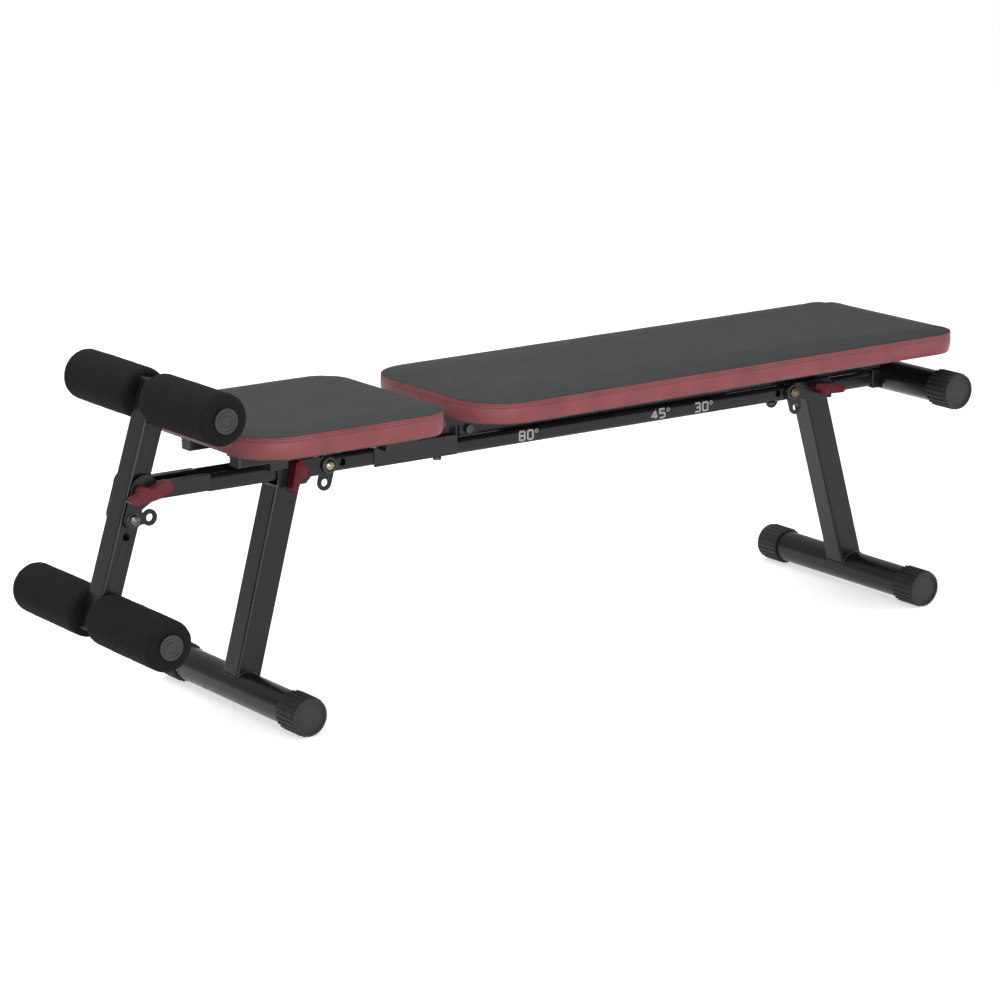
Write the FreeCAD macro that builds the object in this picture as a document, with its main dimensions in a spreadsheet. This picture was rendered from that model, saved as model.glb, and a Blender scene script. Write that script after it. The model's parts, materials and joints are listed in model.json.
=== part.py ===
import FreeCAD, Part
import math
import os
import re
import sys

import Sketcher

# Decline sit-up bench, millimetres. The origin is on the floor under the middle of the bench,
# +X runs from the foot rollers to the head end, +Z is up. Left is +Y, right is -Y.

doc = FreeCAD.newDocument("decline_sit_up_bench")

# ---------------------------------------------------------------------------------------------
# Driving dimensions
# ---------------------------------------------------------------------------------------------

DIMENSIONS = [
    # beam: two flat-oval rails side by side, open between them
    ("rail_gap_half", 13.0), ("rail_width", 14.0), ("rail_wall", 1.8),
    ("front_rail_top", 357.5), ("front_rail_height", 26.0), ("front_rail_start", -550.0),
    ("rear_rail_top", 352.0), ("rear_rail_height", 24.0), ("rear_rail_end", 701.0),
    ("sleeve_start", -274.0), ("sleeve_end", -126.0), ("sleeve_bottom", 329.5), ("sheet", 1.5),
    ("rail_split", -200.0), ("fit_gap", 0.05), ("rivet_front_x", -157.0), ("rivet_rear_x", 485.0),
    # round cross tubes and their caps
    ("foot_radius", 25.0), ("foot_wall", 2.0), ("cap_radius", 29.5), ("cap_length", 45.5),
    ("cap_face", 3.0), ("half_width", 191.8), ("cap_ribs", 24.0),
    ("end_tube_x", 727.4), ("end_tube_z", 343.5),
    # legs
    ("tube_corner", 3.6), ("leg_depth", 41.5), ("leg_width", 40.0), ("leg_wall", 2.0), ("leg_top", 323.0),
    ("mid_foot_x", -494.2), ("mid_tilt", 14.9), ("mid_pivot_x", -354.3), ("mid_pivot_z", 345.0),
    ("rear_foot_x", 666.2), ("rear_tilt", 16.1), ("rear_pivot_x", 520.0), ("rear_pivot_z", 342.0),
    ("ear_plate", 3.0), ("ear_gap", 0.5), ("mid_ear_reach", 86.0), ("rear_ear_reach", 82.0),
    ("ear_radius", 13.5), ("web_reach", 38.5), ("lock_reach", 54.0), ("tab_reach", 26.5),
    ("tab_radius", 12.0), ("tab_hole", 5.5),
    # foot post and rollers
    ("post_depth", 33.0), ("post_width", 40.0), ("post_wall", 2.0), ("post_tilt", 17.3),
    ("post_pivot_x", -676.7), ("post_pivot_z", 310.0), ("post_overrun", 21.0),
    ("post_up", 173.7), ("post_down", 144.2), ("post_lock_up", 41.0), ("post_hole_down", 25.7),
    ("yoke_outer", 27.0), ("yoke_radius", 13.5), ("yoke_crown", 21.0), ("yoke_tube_start", -642.0),
    ("yoke_tube_height", 23.0),
    ("axle_radius", 12.5), ("axle_wall", 1.5), ("axle_half", 190.0),
    ("roller_radius", 37.3), ("roller_inner", 20.6), ("roller_outer", 196.0), ("roller_round", 9.0),
    ("hub_radius", 18.0), ("hub_face", 3.6),
    # fasteners
    ("bolt_radius", 5.0), ("bolt_head", 8.5), ("washer_radius", 10.5), ("washer_thick", 1.5),
    ("head_thick", 6.0), ("pin_radius", 4.0), ("grip_thick", 16.0),
    # pads
    ("pad_half_width", 165.5), ("pad_corner", 57.0), ("pad_round", 9.0), ("board_thick", 12.0),
    ("board_inset", 22.0), ("seat_start", -556.0), ("seat_end", -221.2), ("seat_bottom", 398.8),
    ("seat_top", 436.0), ("back_start", -168.4), ("back_end", 756.8), ("back_bottom", 400.0),
    ("back_top", 438.0),
    # seat supports
    ("member_front_x", -456.0), ("member_rear_x", -252.0), ("member_width", 30.0),
    ("member_half", 60.0), ("rear_member_width", 44.0),
    ("support_inner", 54.0), ("support_width", 25.0), ("support_height", 25.0),
    ("support_start", -531.0), ("support_end", -230.0), ("plug_thick", 4.0), ("small_corner", 2.4),
    # backrest frame, its hinge and its strut
    ("spine_half", 12.5), ("spine_wall", 1.5), ("spine_start", -116.0), ("spine_end", 686.0),
    ("spine_bottom", 350.0), ("spine_top", 373.5), ("spine_bolt_x", -97.0),
    ("hinge_x", -150.0), ("hinge_z", 376.0), ("hinge_radius", 5.0), ("hinge_eye", 10.0),
    ("leaf_plate", 2.5), ("hinge_plate", 3.0), ("crossbar_width", 40.0), ("crossbar_half", 80.0),
    ("strut_pivot_x", 90.0), ("strut_z", 342.0), ("strut_length", 281.0), ("strut_half", 6.5),
    ("strut_radius", 6.0), ("strut_pin", 3.0), ("foot_bar_radius", 5.0), ("foot_bar_half", 12.4),
    ("rack_start", -20.0), ("rack_end", 420.0), ("rack_floor", 328.5), ("rack_top", 335.2),
]

sheet = doc.addObject("Spreadsheet::Sheet", "dims")
for row, (alias, value) in enumerate(DIMENSIONS, start=1):
    sheet.set(f"A{row}", alias)
    sheet.set(f"B{row}", str(value))
    sheet.setAlias(f"B{row}", alias)
doc.recompute()

ALIASES = {alias for alias, _ in DIMENSIONS}
PARTS = []


def linked(text):
    """Turn the alias words of an expression into references to the dimension sheet."""
    return re.sub(r"[a-z][a-z_]*", lambda m: "dims." + m[0] if m[0] in ALIASES else m[0], str(text))


def number(text):
    """Work out an expression's present value."""
    value = sheet.evalExpression(linked(text))
    return float(getattr(value, "Value", value))


def bind(thing, **sizes):
    """Bind properties of an object to expressions."""
    for prop, text in sizes.items():
        thing.setExpression(prop, linked(text))


def place(thing, x="0", y="0", z="0", axis=None, angle=None):
    """Bind an object's position to expressions, and turn it about an axis."""
    if axis is not None:
        thing.Placement = FreeCAD.Placement(
            FreeCAD.Vector(0, 0, 0), FreeCAD.Rotation(FreeCAD.Vector(*axis), number(angle))
        )
        thing.setExpression("Placement.Rotation.Angle", linked(angle))
    for letter, text in zip("xyz", (x, y, z)):
        thing.setExpression("Placement.Base." + letter, linked(text))
    return thing


def keep(thing, label):
    """Register a finished sub-part under its own label."""
    thing.Label = label
    PARTS.append(thing)
    return thing


# ---------------------------------------------------------------------------------------------
# Building blocks
# ---------------------------------------------------------------------------------------------


def box(x0, x1, y0, y1, z0, z1):
    """A block between two corners."""
    block = doc.addObject("Part::Box", "Block")
    bind(block, Length=f"({x1}) - ({x0})", Width=f"({y1}) - ({y0})", Height=f"({z1}) - ({z0})")
    return place(block, x0, y0, z0)


TURNS = {"x": ((0, 1, 0), 90), "y": ((1, 0, 0), -90), "z": ((0, 0, 1), 0)}


def rod(axis, radius, start, end, x="0", y="0", z="0"):
    """A round bar along a row axis between two coordinates."""
    bar = doc.addObject("Part::Cylinder", "Rod")
    bind(bar, Radius=radius, Height=f"({end}) - ({start})")
    spot = {"x": x, "y": y, "z": z}
    spot[axis] = start
    turn_axis, turn = TURNS[axis]
    return place(bar, spot["x"], spot["y"], spot["z"], turn_axis, turn)


def hexagon(across_half, start, end, x, z):
    """A hexagonal prism along Y, as a bolt head or a nut."""
    prism = doc.addObject("Part::Prism", "Hexagon")
    prism.Polygon = 6
    bind(prism, Circumradius=across_half, Height=f"({end}) - ({start})")
    return place(prism, x, start, z, (1, 0, 0), -90)


def cut(base, *tools):
    """Take tools away from a base."""
    for tool in tools:
        step = doc.addObject("Part::Cut", "Cut")
        step.Base = base
        step.Tool = tool
        base = step
    return base


def fuse(*pieces):
    """Weld pieces into one solid."""
    welded = doc.addObject("Part::MultiFuse", "Weld")
    welded.Shapes = list(pieces)
    welded.Refine = True
    return welded


def group(*pieces):
    """Separate solids that share one node."""
    bundle = doc.addObject("Part::Compound", "Group")
    bundle.Links = list(pieces)
    return bundle


def mirrored(piece):
    """The same piece on the other side of the bench."""
    twin = doc.addObject("Part::Mirroring", "Twin")
    twin.Source = piece
    twin.Normal = FreeCAD.Vector(0, 1, 0)
    return twin


def pair(piece):
    return group(piece, mirrored(piece))


def origin_plane(body, role):
    return next(item for item in body.Origin.OriginFeatures if item.Role == role)


def polygon_sketch(body, role, corners):
    """A closed outline of straight edges whose corners are bound to expressions."""
    sketch = body.newObject("Sketcher::SketchObject", "Outline")
    sketch.AttachmentSupport = [(origin_plane(body, role), "")]
    sketch.MapMode = "FlatFace"
    spots = [FreeCAD.Vector(number(u), number(v), 0) for u, v in corners]
    for index, spot in enumerate(spots):
        sketch.addGeometry(Part.LineSegment(spot, spots[(index + 1) % len(spots)]))
    for index in range(len(spots)):
        sketch.addConstraint(Sketcher.Constraint("Coincident", index, 2, (index + 1) % len(spots), 1))
    for index, (u, v) in enumerate(corners):
        for kind, text in (("DistanceX", u), ("DistanceY", v)):
            datum = sketch.addConstraint(Sketcher.Constraint(kind, -1, 1, index, 1, number(text)))
            sketch.setExpression(f"Constraints[{datum}]", linked(text))
    return sketch


def circle_sketch(body, role, circles):
    """Circles whose centres and radii are bound to expressions."""
    sketch = body.newObject("Sketcher::SketchObject", "Circles")
    sketch.AttachmentSupport = [(origin_plane(body, role), "")]
    sketch.MapMode = "FlatFace"
    for index, (u, v, radius) in enumerate(circles):
        centre = FreeCAD.Vector(number(u), number(v), 0)
        sketch.addGeometry(Part.Circle(centre, FreeCAD.Vector(0, 0, 1), number(radius)))
        size = sketch.addConstraint(Sketcher.Constraint("Radius", index, number(radius)))
        sketch.setExpression(f"Constraints[{size}]", linked(radius))
        for kind, text in (("DistanceX", u), ("DistanceY", v)):
            datum = sketch.addConstraint(Sketcher.Constraint(kind, -1, 1, index, 3, number(text)))
            sketch.setExpression(f"Constraints[{datum}]", linked(text))
    return sketch


def extruded(body, kind, sketch, length, both_ways=False):
    """A Pad or Pocket of a sketch."""
    step = body.newObject("PartDesign::" + kind, kind)
    step.Profile = sketch
    step.SideType = "Symmetric" if both_ways else "One side"
    step.setExpression("Length", linked(length))
    return step


def pressed_plate(corners, half_width, holes=(), slot=None):
    """A plate profile in the XZ plane, as wide as twice half_width, drilled along Y.

    slot is a second outline, taken out between two cheeks: (corners, half width).
    """
    body = doc.addObject("PartDesign::Body", "Plate")
    extruded(body, "Pad", polygon_sketch(body, "XZ_Plane", corners), f"2 * ({half_width})", True)
    if slot is not None:
        extruded(body, "Pocket", polygon_sketch(body, "XZ_Plane", slot[0]), f"2 * ({slot[1]})", True)
    if holes:
        extruded(body, "Pocket", circle_sketch(body, "XZ_Plane", holes), f"2 * ({half_width}) + 20", True)
    return body


RAIL_MIDDLE = "rail_gap_half + rail_width / 2"


def oval_bar(x0, x1, top, height, inset="0"):
    """A flat-oval bar along X beside the beam's gap: flat sides, half-round top and bottom."""
    radius = f"rail_width / 2 - ({inset})"
    low = f"({top}) - ({height}) + rail_width / 2"
    high = f"({top}) - rail_width / 2"
    return fuse(
        box(x0, x1, f"{RAIL_MIDDLE} - ({radius})", f"{RAIL_MIDDLE} + ({radius})", low, high),
        rod("x", radius, x0, x1, y=RAIL_MIDDLE, z=low),
        rod("x", radius, x0, x1, y=RAIL_MIDDLE, z=high),
    )


def edges_where(shape, test):
    """Names of the edges of a shape that pass a test."""
    return [f"Edge{i}" for i, edge in enumerate(shape.Edges, start=1) if test(edge)]


def round_over(body, base, radius, test):
    """A PartDesign fillet on the edges of a feature that pass a test."""
    doc.recompute()
    step = body.newObject("PartDesign::Fillet", "Fillet")
    step.Base = (base, edges_where(base.Shape, test))
    step.setExpression("Radius", linked(radius))
    return step


def is_upright(edge):
    ends = edge.Vertexes
    if len(ends) != 2:
        return False
    return abs(ends[0].X - ends[1].X) + abs(ends[0].Y - ends[1].Y) < 0.001


def slab(x0, x1, half, z0, z1, corner, top_round=None):
    """A flat body with round corners, and a round top edge if one is asked for."""
    body = doc.addObject("PartDesign::Body", "Slab")
    corners = [(x0, f"-({half})"), (x1, f"-({half})"), (x1, half), (x0, half)]
    pad = extruded(body, "Pad", polygon_sketch(body, "XY_Plane", corners), f"({z1}) - ({z0})")
    last = round_over(body, pad, corner, is_upright)
    if top_round is not None:
        height = number(f"({z1}) - ({z0})")
        round_over(body, last, top_round, lambda e: min(v.Z for v in e.Vertexes) > height - 0.001)
    return place(body, z=z0)


def round_bar(depth, width, length, corner):
    """A bar of rectangular section standing on the middle of its end, with round long edges."""
    body = doc.addObject("PartDesign::Body", "Bar")
    corners = [(f"({sx}) * ({depth}) / 2", f"({sy}) * ({width}) / 2")
               for sx, sy in (("-1", "-1"), ("1", "-1"), ("1", "1"), ("-1", "1"))]
    pad = extruded(body, "Pad", polygon_sketch(body, "XY_Plane", corners), length)
    round_over(body, pad, corner, is_upright)
    return body


def lying_bar(x0, x1, y0, y1, z0, z1, corner):
    """A bar along X between two corners, with round long edges."""
    bar = round_bar(f"({z1}) - ({z0})", f"({y1}) - ({y0})", f"({x1}) - ({x0})", corner)
    return place(bar, x0, f"(({y0}) + ({y1})) / 2", f"(({z0}) + ({z1})) / 2", (0, 1, 0), "90")


# ---------------------------------------------------------------------------------------------
# Beam: twin rails, joiner sleeve, front yoke, end tube
# ---------------------------------------------------------------------------------------------

BEAM_OUTER = "rail_gap_half + rail_width"
BOLT_HOLE = "bolt_radius + fit_gap"
PIN_HOLE = "pin_radius + fit_gap"
RIVET_SPOTS = ["rivet_front_x", "rivet_rear_x"]
RIVET_RADIUS = "3"
RAIL_FLOOR = "rear_rail_top - rear_rail_height"


def through_hole(x, z, radius):
    return rod("y", radius, "-60", "60", x=x, z=z)


def rail(x0, x1, top, height, *holes):
    solid = oval_bar(x0, x1, top, height)
    hollow = oval_bar(f"{x0} - 1", f"{x1} + 1", top, height, "rail_wall")
    return pair(cut(solid, hollow, *holes))


def leg_holes(pivot_x, pivot_z, side):
    """Pivot, in-use lock and folded lock holes; side is -1 where the leg hangs towards -X."""
    return [
        through_hole(pivot_x, pivot_z, BOLT_HOLE),
        through_hole(f"{pivot_x} + {side} * lock_reach", pivot_z, "pin_radius + 0.5"),
        through_hole(f"{pivot_x} - ({side}) * tab_reach", pivot_z, "tab_hole"),
    ]


rivet_holes = [
    rod("z", f"{RIVET_RADIUS} + fit_gap", f"{RAIL_FLOOR} - 1", f"{RAIL_FLOOR} + 8", x=x, y=RAIL_MIDDLE)
    for x in RIVET_SPOTS
]
keep(
    rail("front_rail_start", "rail_split - 1", "front_rail_top", "front_rail_height",
         *leg_holes("mid_pivot_x", "mid_pivot_z", "-1")),
    "front_rails",
)
keep(
    rail("rail_split + 1", "rear_rail_end", "rear_rail_top", "rear_rail_height",
         *leg_holes("rear_pivot_x", "rear_pivot_z", "1"), *rivet_holes),
    "rear_rails",
)

SLEEVE_INNER = f"{BEAM_OUTER} + fit_gap"
SLEEVE_TOP = "front_rail_top + fit_gap + sheet"
sleeve_outside = [
    (f"-({SLEEVE_INNER} + sheet)", "sleeve_bottom"), (f"{SLEEVE_INNER} + sheet", "sleeve_bottom"),
    (f"{SLEEVE_INNER} + sheet", SLEEVE_TOP), (f"-({SLEEVE_INNER} + sheet)", SLEEVE_TOP),
]
sleeve = doc.addObject("PartDesign::Body", "Sleeve")
extruded(sleeve, "Pad", polygon_sketch(sleeve, "YZ_Plane", sleeve_outside), "sleeve_end - sleeve_start")
place(sleeve, x="sleeve_start")
sleeve_room = box("sleeve_start - 1", "sleeve_end + 1", f"-({SLEEVE_INNER})", SLEEVE_INNER,
                  "sleeve_bottom - 1", "front_rail_top + fit_gap")
keep(cut(sleeve, sleeve_room), "joiner_sleeve")

LOCK_X = "post_pivot_x + post_lock_up * sin(post_tilt)"
LOCK_Z = "post_pivot_z + post_lock_up * cos(post_tilt)"
yoke_side = pressed_plate(
    [
        ("post_pivot_x - yoke_radius * cos(post_tilt)", "post_pivot_z + yoke_radius * sin(post_tilt)"),
        ("post_pivot_x + 4", "post_pivot_z - yoke_radius + 0.5"),
        ("post_pivot_x + yoke_radius", "post_pivot_z - 8"),
        ("post_pivot_x + yoke_radius", "post_pivot_z + 12"),
        ("yoke_tube_start", "front_rail_top - yoke_tube_height"),
        ("yoke_tube_start", "front_rail_top"),
        (f"{LOCK_X} + 15", f"{LOCK_Z} + yoke_radius - 1"),
        (f"{LOCK_X}", f"{LOCK_Z} + yoke_radius"),
        (f"{LOCK_X} - yoke_radius * cos(post_tilt)", f"{LOCK_Z} + yoke_radius * sin(post_tilt)"),
    ],
    "yoke_outer",
)
yoke_block = fuse(
    yoke_side,
    rod("y", "yoke_radius", "-yoke_outer", "yoke_outer", x="post_pivot_x", z="post_pivot_z"),
    rod("y", "yoke_crown", "-yoke_outer", "yoke_outer", x=f"{LOCK_X} + 8", z=f"{LOCK_Z} + 2"),
    rod("y", "tab_radius", "-yoke_outer", "yoke_outer", x="post_pivot_x + tab_reach", z="post_pivot_z"),
    box("post_pivot_x", "post_pivot_x + tab_reach", "-yoke_outer", "yoke_outer",
        "post_pivot_z - 8.5", "post_pivot_z + 8.5"),
    box("yoke_tube_start", "front_rail_start - 0.4", "-yoke_outer", "yoke_outer",
        "front_rail_top - yoke_tube_height", "front_rail_top"),
)
CHEEK_INNER = "yoke_outer - ear_plate"
YOKE_LOW = "front_rail_top - yoke_tube_height + rail_wall"


def yoke_hollow(y0, y1):
    return box("yoke_tube_start - 0.01", "front_rail_start + 1", y0, y1, YOKE_LOW,
               "front_rail_top - rail_wall")


front_yoke = cut(
    yoke_block,
    box("post_pivot_x - 60", "yoke_tube_start", f"-({CHEEK_INNER})", CHEEK_INNER, "280", "400"),
    box("yoke_tube_start - 1", "front_rail_start", f"-({CHEEK_INNER})", CHEEK_INNER, "280",
        "front_rail_top - yoke_tube_height"),
    box("yoke_tube_start - 1", "front_rail_start + 1", f"-({CHEEK_INNER})", CHEEK_INNER,
        "front_rail_top", "400"),
    box("yoke_tube_start - 1", "front_rail_start + 1", "-rail_gap_half", "rail_gap_half", YOKE_LOW, "400"),
    yoke_hollow("rail_gap_half + rail_wall", CHEEK_INNER),
    yoke_hollow(f"-({CHEEK_INNER})", "-(rail_gap_half + rail_wall)"),
    through_hole("post_pivot_x", "post_pivot_z", BOLT_HOLE),
    through_hole(LOCK_X, LOCK_Z, PIN_HOLE),
    through_hole("post_pivot_x + tab_reach", "post_pivot_z", "tab_hole"),
)
keep(front_yoke, "front_yoke")


def cross_tube(x, z):
    """A round tube across the bench, open where its caps go on."""
    half = "half_width - cap_face"
    return cut(
        rod("y", "foot_radius", f"-({half})", half, x=x, z=z),
        rod("y", "foot_radius - foot_wall", f"-({half} + 1)", f"{half} + 1", x=x, z=z),
    )


def ribbed_cap(x, z):
    """A push-on cap: a cup with ribs along its barrel and a shallow round recess in its face."""
    body = doc.addObject("PartDesign::Body", "Cap")
    barrel = extruded(body, "Pad", circle_sketch(body, "XZ_Plane", [("0", "0", "cap_radius - 1.4")]),
                      "cap_length")
    barrel.Reversed = True
    rib_corners = [("-2.1", "foot_radius + 1.5"), ("2.1", "foot_radius + 1.5"),
                   ("1.5", "cap_radius"), ("-1.5", "cap_radius")]
    rib = extruded(body, "Pad", polygon_sketch(body, "XZ_Plane", rib_corners), "cap_length - 4")
    rib.Reversed = True
    ribs = body.newObject("PartDesign::PolarPattern", "Ribs")
    ribs.Originals = [rib]
    ribs.Axis = (origin_plane(body, "Y_Axis"), [""])
    ribs.Angle = 360
    ribs.setExpression("Occurrences", linked("cap_ribs"))
    body.Tip = ribs
    place(body, x, "half_width - cap_length", z)
    return cut(
        body,
        rod("y", "foot_radius + 0.1", "half_width - cap_length - 1", "half_width - cap_face", x=x, z=z),
        rod("y", "cap_radius - 6", "half_width - 1.2", "half_width + 1", x=x, z=z),
    )


keep(cross_tube("end_tube_x", "end_tube_z"), "end_tube")
keep(pair(ribbed_cap("end_tube_x", "end_tube_z")), "end_tube_caps")

SADDLE_HALF = f"{BEAM_OUTER} + 3"
saddle = cut(
    box("rear_rail_end - 10", "rear_rail_end + 14", f"-({SADDLE_HALF})", SADDLE_HALF,
        f"{RAIL_FLOOR} - 2", "rear_rail_top + 2"),
    box("rear_rail_end - 11", "rear_rail_end + fit_gap", f"-({SLEEVE_INNER})", SLEEVE_INNER,
        f"{RAIL_FLOOR} - fit_gap", "rear_rail_top + fit_gap"),
    rod("y", "foot_radius", "-60", "60", x="end_tube_x", z="end_tube_z"),
)
keep(saddle, "end_saddle")

rivets = []
for spot in RIVET_SPOTS:
    rivets.append(pair(fuse(
        rod("z", "6.5", f"{RAIL_FLOOR} - 4", RAIL_FLOOR, x=spot, y=RAIL_MIDDLE),
        rod("z", RIVET_RADIUS, f"{RAIL_FLOOR} - 1", f"{RAIL_FLOOR} + 5", x=spot, y=RAIL_MIDDLE),
    )))
keep(group(*rivets), "frame_rivets")

# ---------------------------------------------------------------------------------------------
# Legs: a square tube welded to a round foot tube, hung from the beam by a two-cheeked bracket
# ---------------------------------------------------------------------------------------------

EAR_INNER = f"{BEAM_OUTER} + ear_gap"
EAR_OUTER = f"{EAR_INNER} + ear_plate"


def square_leg(foot_x, tilt, side):
    """A leg tube from its foot tube up to the bracket; it leans towards the bracket's pivot."""
    length = f"(leg_top - cap_radius) / cos({tilt}) + 40"

    def bar(inset, reach):
        lean = f"-({side}) * {tilt}"
        block = round_bar(f"leg_depth - 2 * ({inset})", f"leg_width - 2 * ({inset})",
                          f"{length} + 2 * ({reach})", f"tube_corner - ({inset})")
        return place(block, f"{foot_x} - ({reach}) * sin({lean})", "0",
                     f"cap_radius - ({reach}) * cos({lean})", (0, 1, 0), lean)

    return cut(
        bar("0", "0"),
        bar("leg_wall", "1"),
        rod("y", "foot_radius", "-60", "60", x=foot_x, z="cap_radius"),
        box(f"{foot_x} - 250", f"{foot_x} + 250", "-60", "60", "leg_top", "leg_top + 150"),
    )


def leg_bracket(pivot_x, pivot_z, tilt, side, reach):
    """Two ears outside the rails, joined by a web under them that the leg is welded to."""
    far = f"{pivot_x} + ({side}) * {reach}"
    web_end = f"{pivot_x} + ({side}) * web_reach"
    tab_x = f"{pivot_x} + ({side}) * tab_reach * sin({tilt})"
    tab_z = f"{pivot_z} - tab_reach * cos({tilt})"
    floor = "leg_top + ear_plate"
    ear_top = f"{pivot_z} + ear_radius"
    outline = [(far, "leg_top"), (web_end, "leg_top"), (f"{pivot_x} + ({side}) * 30", f"{pivot_z} - 13"),
               (pivot_x, f"{pivot_z} - 13"), (pivot_x, ear_top), (f"{far} - ({side}) * 6", ear_top),
               (far, f"{ear_top} - 6")]
    side_plate = pressed_plate(outline, EAR_OUTER)
    block = fuse(
        side_plate,
        rod("y", "ear_radius", f"-({EAR_OUTER})", EAR_OUTER, x=pivot_x, z=pivot_z),
        rod("y", "tab_radius", f"-({EAR_OUTER})", EAR_OUTER, x=tab_x, z=tab_z),
        pressed_plate(
            [(f"{tab_x} - tab_radius * cos({tilt})", f"{tab_z} - ({side}) * tab_radius * sin({tilt})"),
             (f"{tab_x} + tab_radius * cos({tilt})", f"{tab_z} + ({side}) * tab_radius * sin({tilt})"),
             (f"{pivot_x} + tab_radius * cos({tilt})", f"{pivot_z} + ({side}) * tab_radius * sin({tilt})"),
             (f"{pivot_x} - tab_radius * cos({tilt})", f"{pivot_z} - ({side}) * tab_radius * sin({tilt})")],
            EAR_OUTER,
        ),
    )
    slot = pressed_plate(
        [(f"{far} + ({side}) * 1", floor), (web_end, floor), (web_end, "leg_top - 30"),
         (f"{pivot_x} - ({side}) * 30", "leg_top - 30"), (f"{pivot_x} - ({side}) * 30", "400"),
         (f"{far} + ({side}) * 1", "400")],
        EAR_INNER,
    )
    return cut(
        block,
        slot,
        through_hole(pivot_x, pivot_z, BOLT_HOLE),
        through_hole(f"{pivot_x} + ({side}) * lock_reach", pivot_z, PIN_HOLE),
        through_hole(tab_x, tab_z, "tab_hole"),
    )


LEGS = [("mid", "mid_foot_x", "mid_tilt", "mid_pivot_x", "mid_pivot_z", "-1", "mid_ear_reach"),
        ("rear", "rear_foot_x", "rear_tilt", "rear_pivot_x", "rear_pivot_z", "1", "rear_ear_reach")]
for name, foot_x, tilt, pivot_x, pivot_z, side, reach in LEGS:
    keep(square_leg(foot_x, tilt, side), name + "_leg")
    keep(leg_bracket(pivot_x, pivot_z, tilt, side, reach), name + "_leg_bracket")
    keep(cross_tube(foot_x, "cap_radius"), name + "_foot_tube")
    keep(pair(ribbed_cap(foot_x, "cap_radius")), name + "_foot_caps")

# ---------------------------------------------------------------------------------------------
# Foot post: a leaning box tube with two axles that carry four foam rollers
# ---------------------------------------------------------------------------------------------


def along_post(distance):
    """The point on the post's centre line at a distance above its pivot."""
    return (f"post_pivot_x + ({distance}) * sin(post_tilt)", f"post_pivot_z + ({distance}) * cos(post_tilt)")


def post_bar(inset, low, high):
    block = round_bar(f"post_depth - 2 * ({inset})", f"post_width - 2 * ({inset})",
                      f"({high}) - ({low})", f"tube_corner - ({inset})")
    x, z = along_post(low)
    return place(block, x, "0", z, (0, 1, 0), "post_tilt")


POST_LOW = "-(post_down + post_overrun)"
POST_HIGH = "post_up + post_overrun"
UPPER = along_post("post_up")
LOWER = along_post("-post_down")
post_holes = [
    through_hole(*UPPER, "axle_radius + fit_gap"),
    through_hole(*LOWER, "axle_radius + fit_gap"),
    through_hole("post_pivot_x", "post_pivot_z", BOLT_HOLE),
    through_hole(*along_post("post_lock_up"), "pin_radius + 0.5"),
    through_hole(*along_post("-post_hole_down"), "tab_hole"),
]
keep(
    cut(post_bar("0", POST_LOW, POST_HIGH), post_bar("post_wall", f"{POST_LOW} - 1", f"{POST_HIGH} + 1"),
        *post_holes),
    "foot_post",
)
keep(
    group(
        fuse(post_bar("0", POST_HIGH, f"{POST_HIGH} + 3"),
             post_bar("post_wall + 0.1", f"{POST_HIGH} - 6", f"{POST_HIGH} + 1")),
        fuse(post_bar("0", f"{POST_LOW} - 3", POST_LOW),
             post_bar("post_wall + 0.1", f"{POST_LOW} - 1", f"{POST_LOW} + 6")),
    ),
    "post_end_plugs",
)

for level, (x, z) in (("upper", UPPER), ("lower", LOWER)):
    keep(
        cut(rod("y", "axle_radius", "-axle_half", "axle_half", x=x, z=z),
            rod("y", "axle_radius - axle_wall", "-axle_half - 1", "axle_half + 1", x=x, z=z)),
        level + "_roller_axle",
    )


def foam_roller(x, z):
    """A foam sleeve with rounded ends on the left half of an axle."""
    body = doc.addObject("PartDesign::Body", "Foam")
    barrel = extruded(body, "Pad", circle_sketch(body, "XZ_Plane", [("0", "0", "roller_radius")]),
                      "roller_outer - roller_inner")
    barrel.Reversed = True
    rim_length = 2 * math.pi * number("roller_radius")
    round_over(body, barrel, "roller_round", lambda edge: abs(edge.Length - rim_length) < 0.01)
    place(body, x, "roller_inner", z)
    return cut(body, rod("y", "axle_radius + fit_gap", "roller_inner - 1", "roller_outer + 1", x=x, z=z))


def hub_cap(x, z):
    """A cap that plugs into an axle's end and keeps the foam on it."""
    face = "roller_outer + 0.4"
    return cut(
        fuse(rod("y", "hub_radius", face, f"{face} + hub_face", x=x, z=z),
             rod("y", "axle_radius - axle_wall - 0.1", "axle_half - 15", f"{face} + 1", x=x, z=z)),
        cut(rod("y", "14.5", f"{face} + hub_face - 0.8", f"{face} + hub_face + 1", x=x, z=z),
            rod("y", "12.5", f"{face} + hub_face - 2", f"{face} + hub_face + 2", x=x, z=z)),
        cut(rod("y", "9", f"{face} + hub_face - 0.8", f"{face} + hub_face + 1", x=x, z=z),
            rod("y", "7.5", f"{face} + hub_face - 2", f"{face} + hub_face + 2", x=x, z=z)),
    )


for level, (x, z) in (("upper", UPPER), ("lower", LOWER)):
    left = keep(foam_roller(x, z), level + "_left_roller")
    keep(mirrored(left), level + "_right_roller")
keep(group(pair(hub_cap(*UPPER)), pair(hub_cap(*LOWER))), "roller_hub_caps")

# ---------------------------------------------------------------------------------------------
# Pivot bolts, spacers and lock pins
# ---------------------------------------------------------------------------------------------

PIVOTS = [("mid_pivot_x", "mid_pivot_z", EAR_OUTER), ("rear_pivot_x", "rear_pivot_z", EAR_OUTER),
          ("post_pivot_x", "post_pivot_z", "yoke_outer")]


def pivot_bolt(x, z, outer):
    grip = f"({outer}) + fit_gap + washer_thick"
    return fuse(
        rod("y", "bolt_radius", f"-({grip}) - 1", f"{grip} + head_thick + 2", x=x, z=z),
        hexagon("bolt_head", f"-({grip}) - head_thick", f"-({grip})", x, z),
    )


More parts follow.
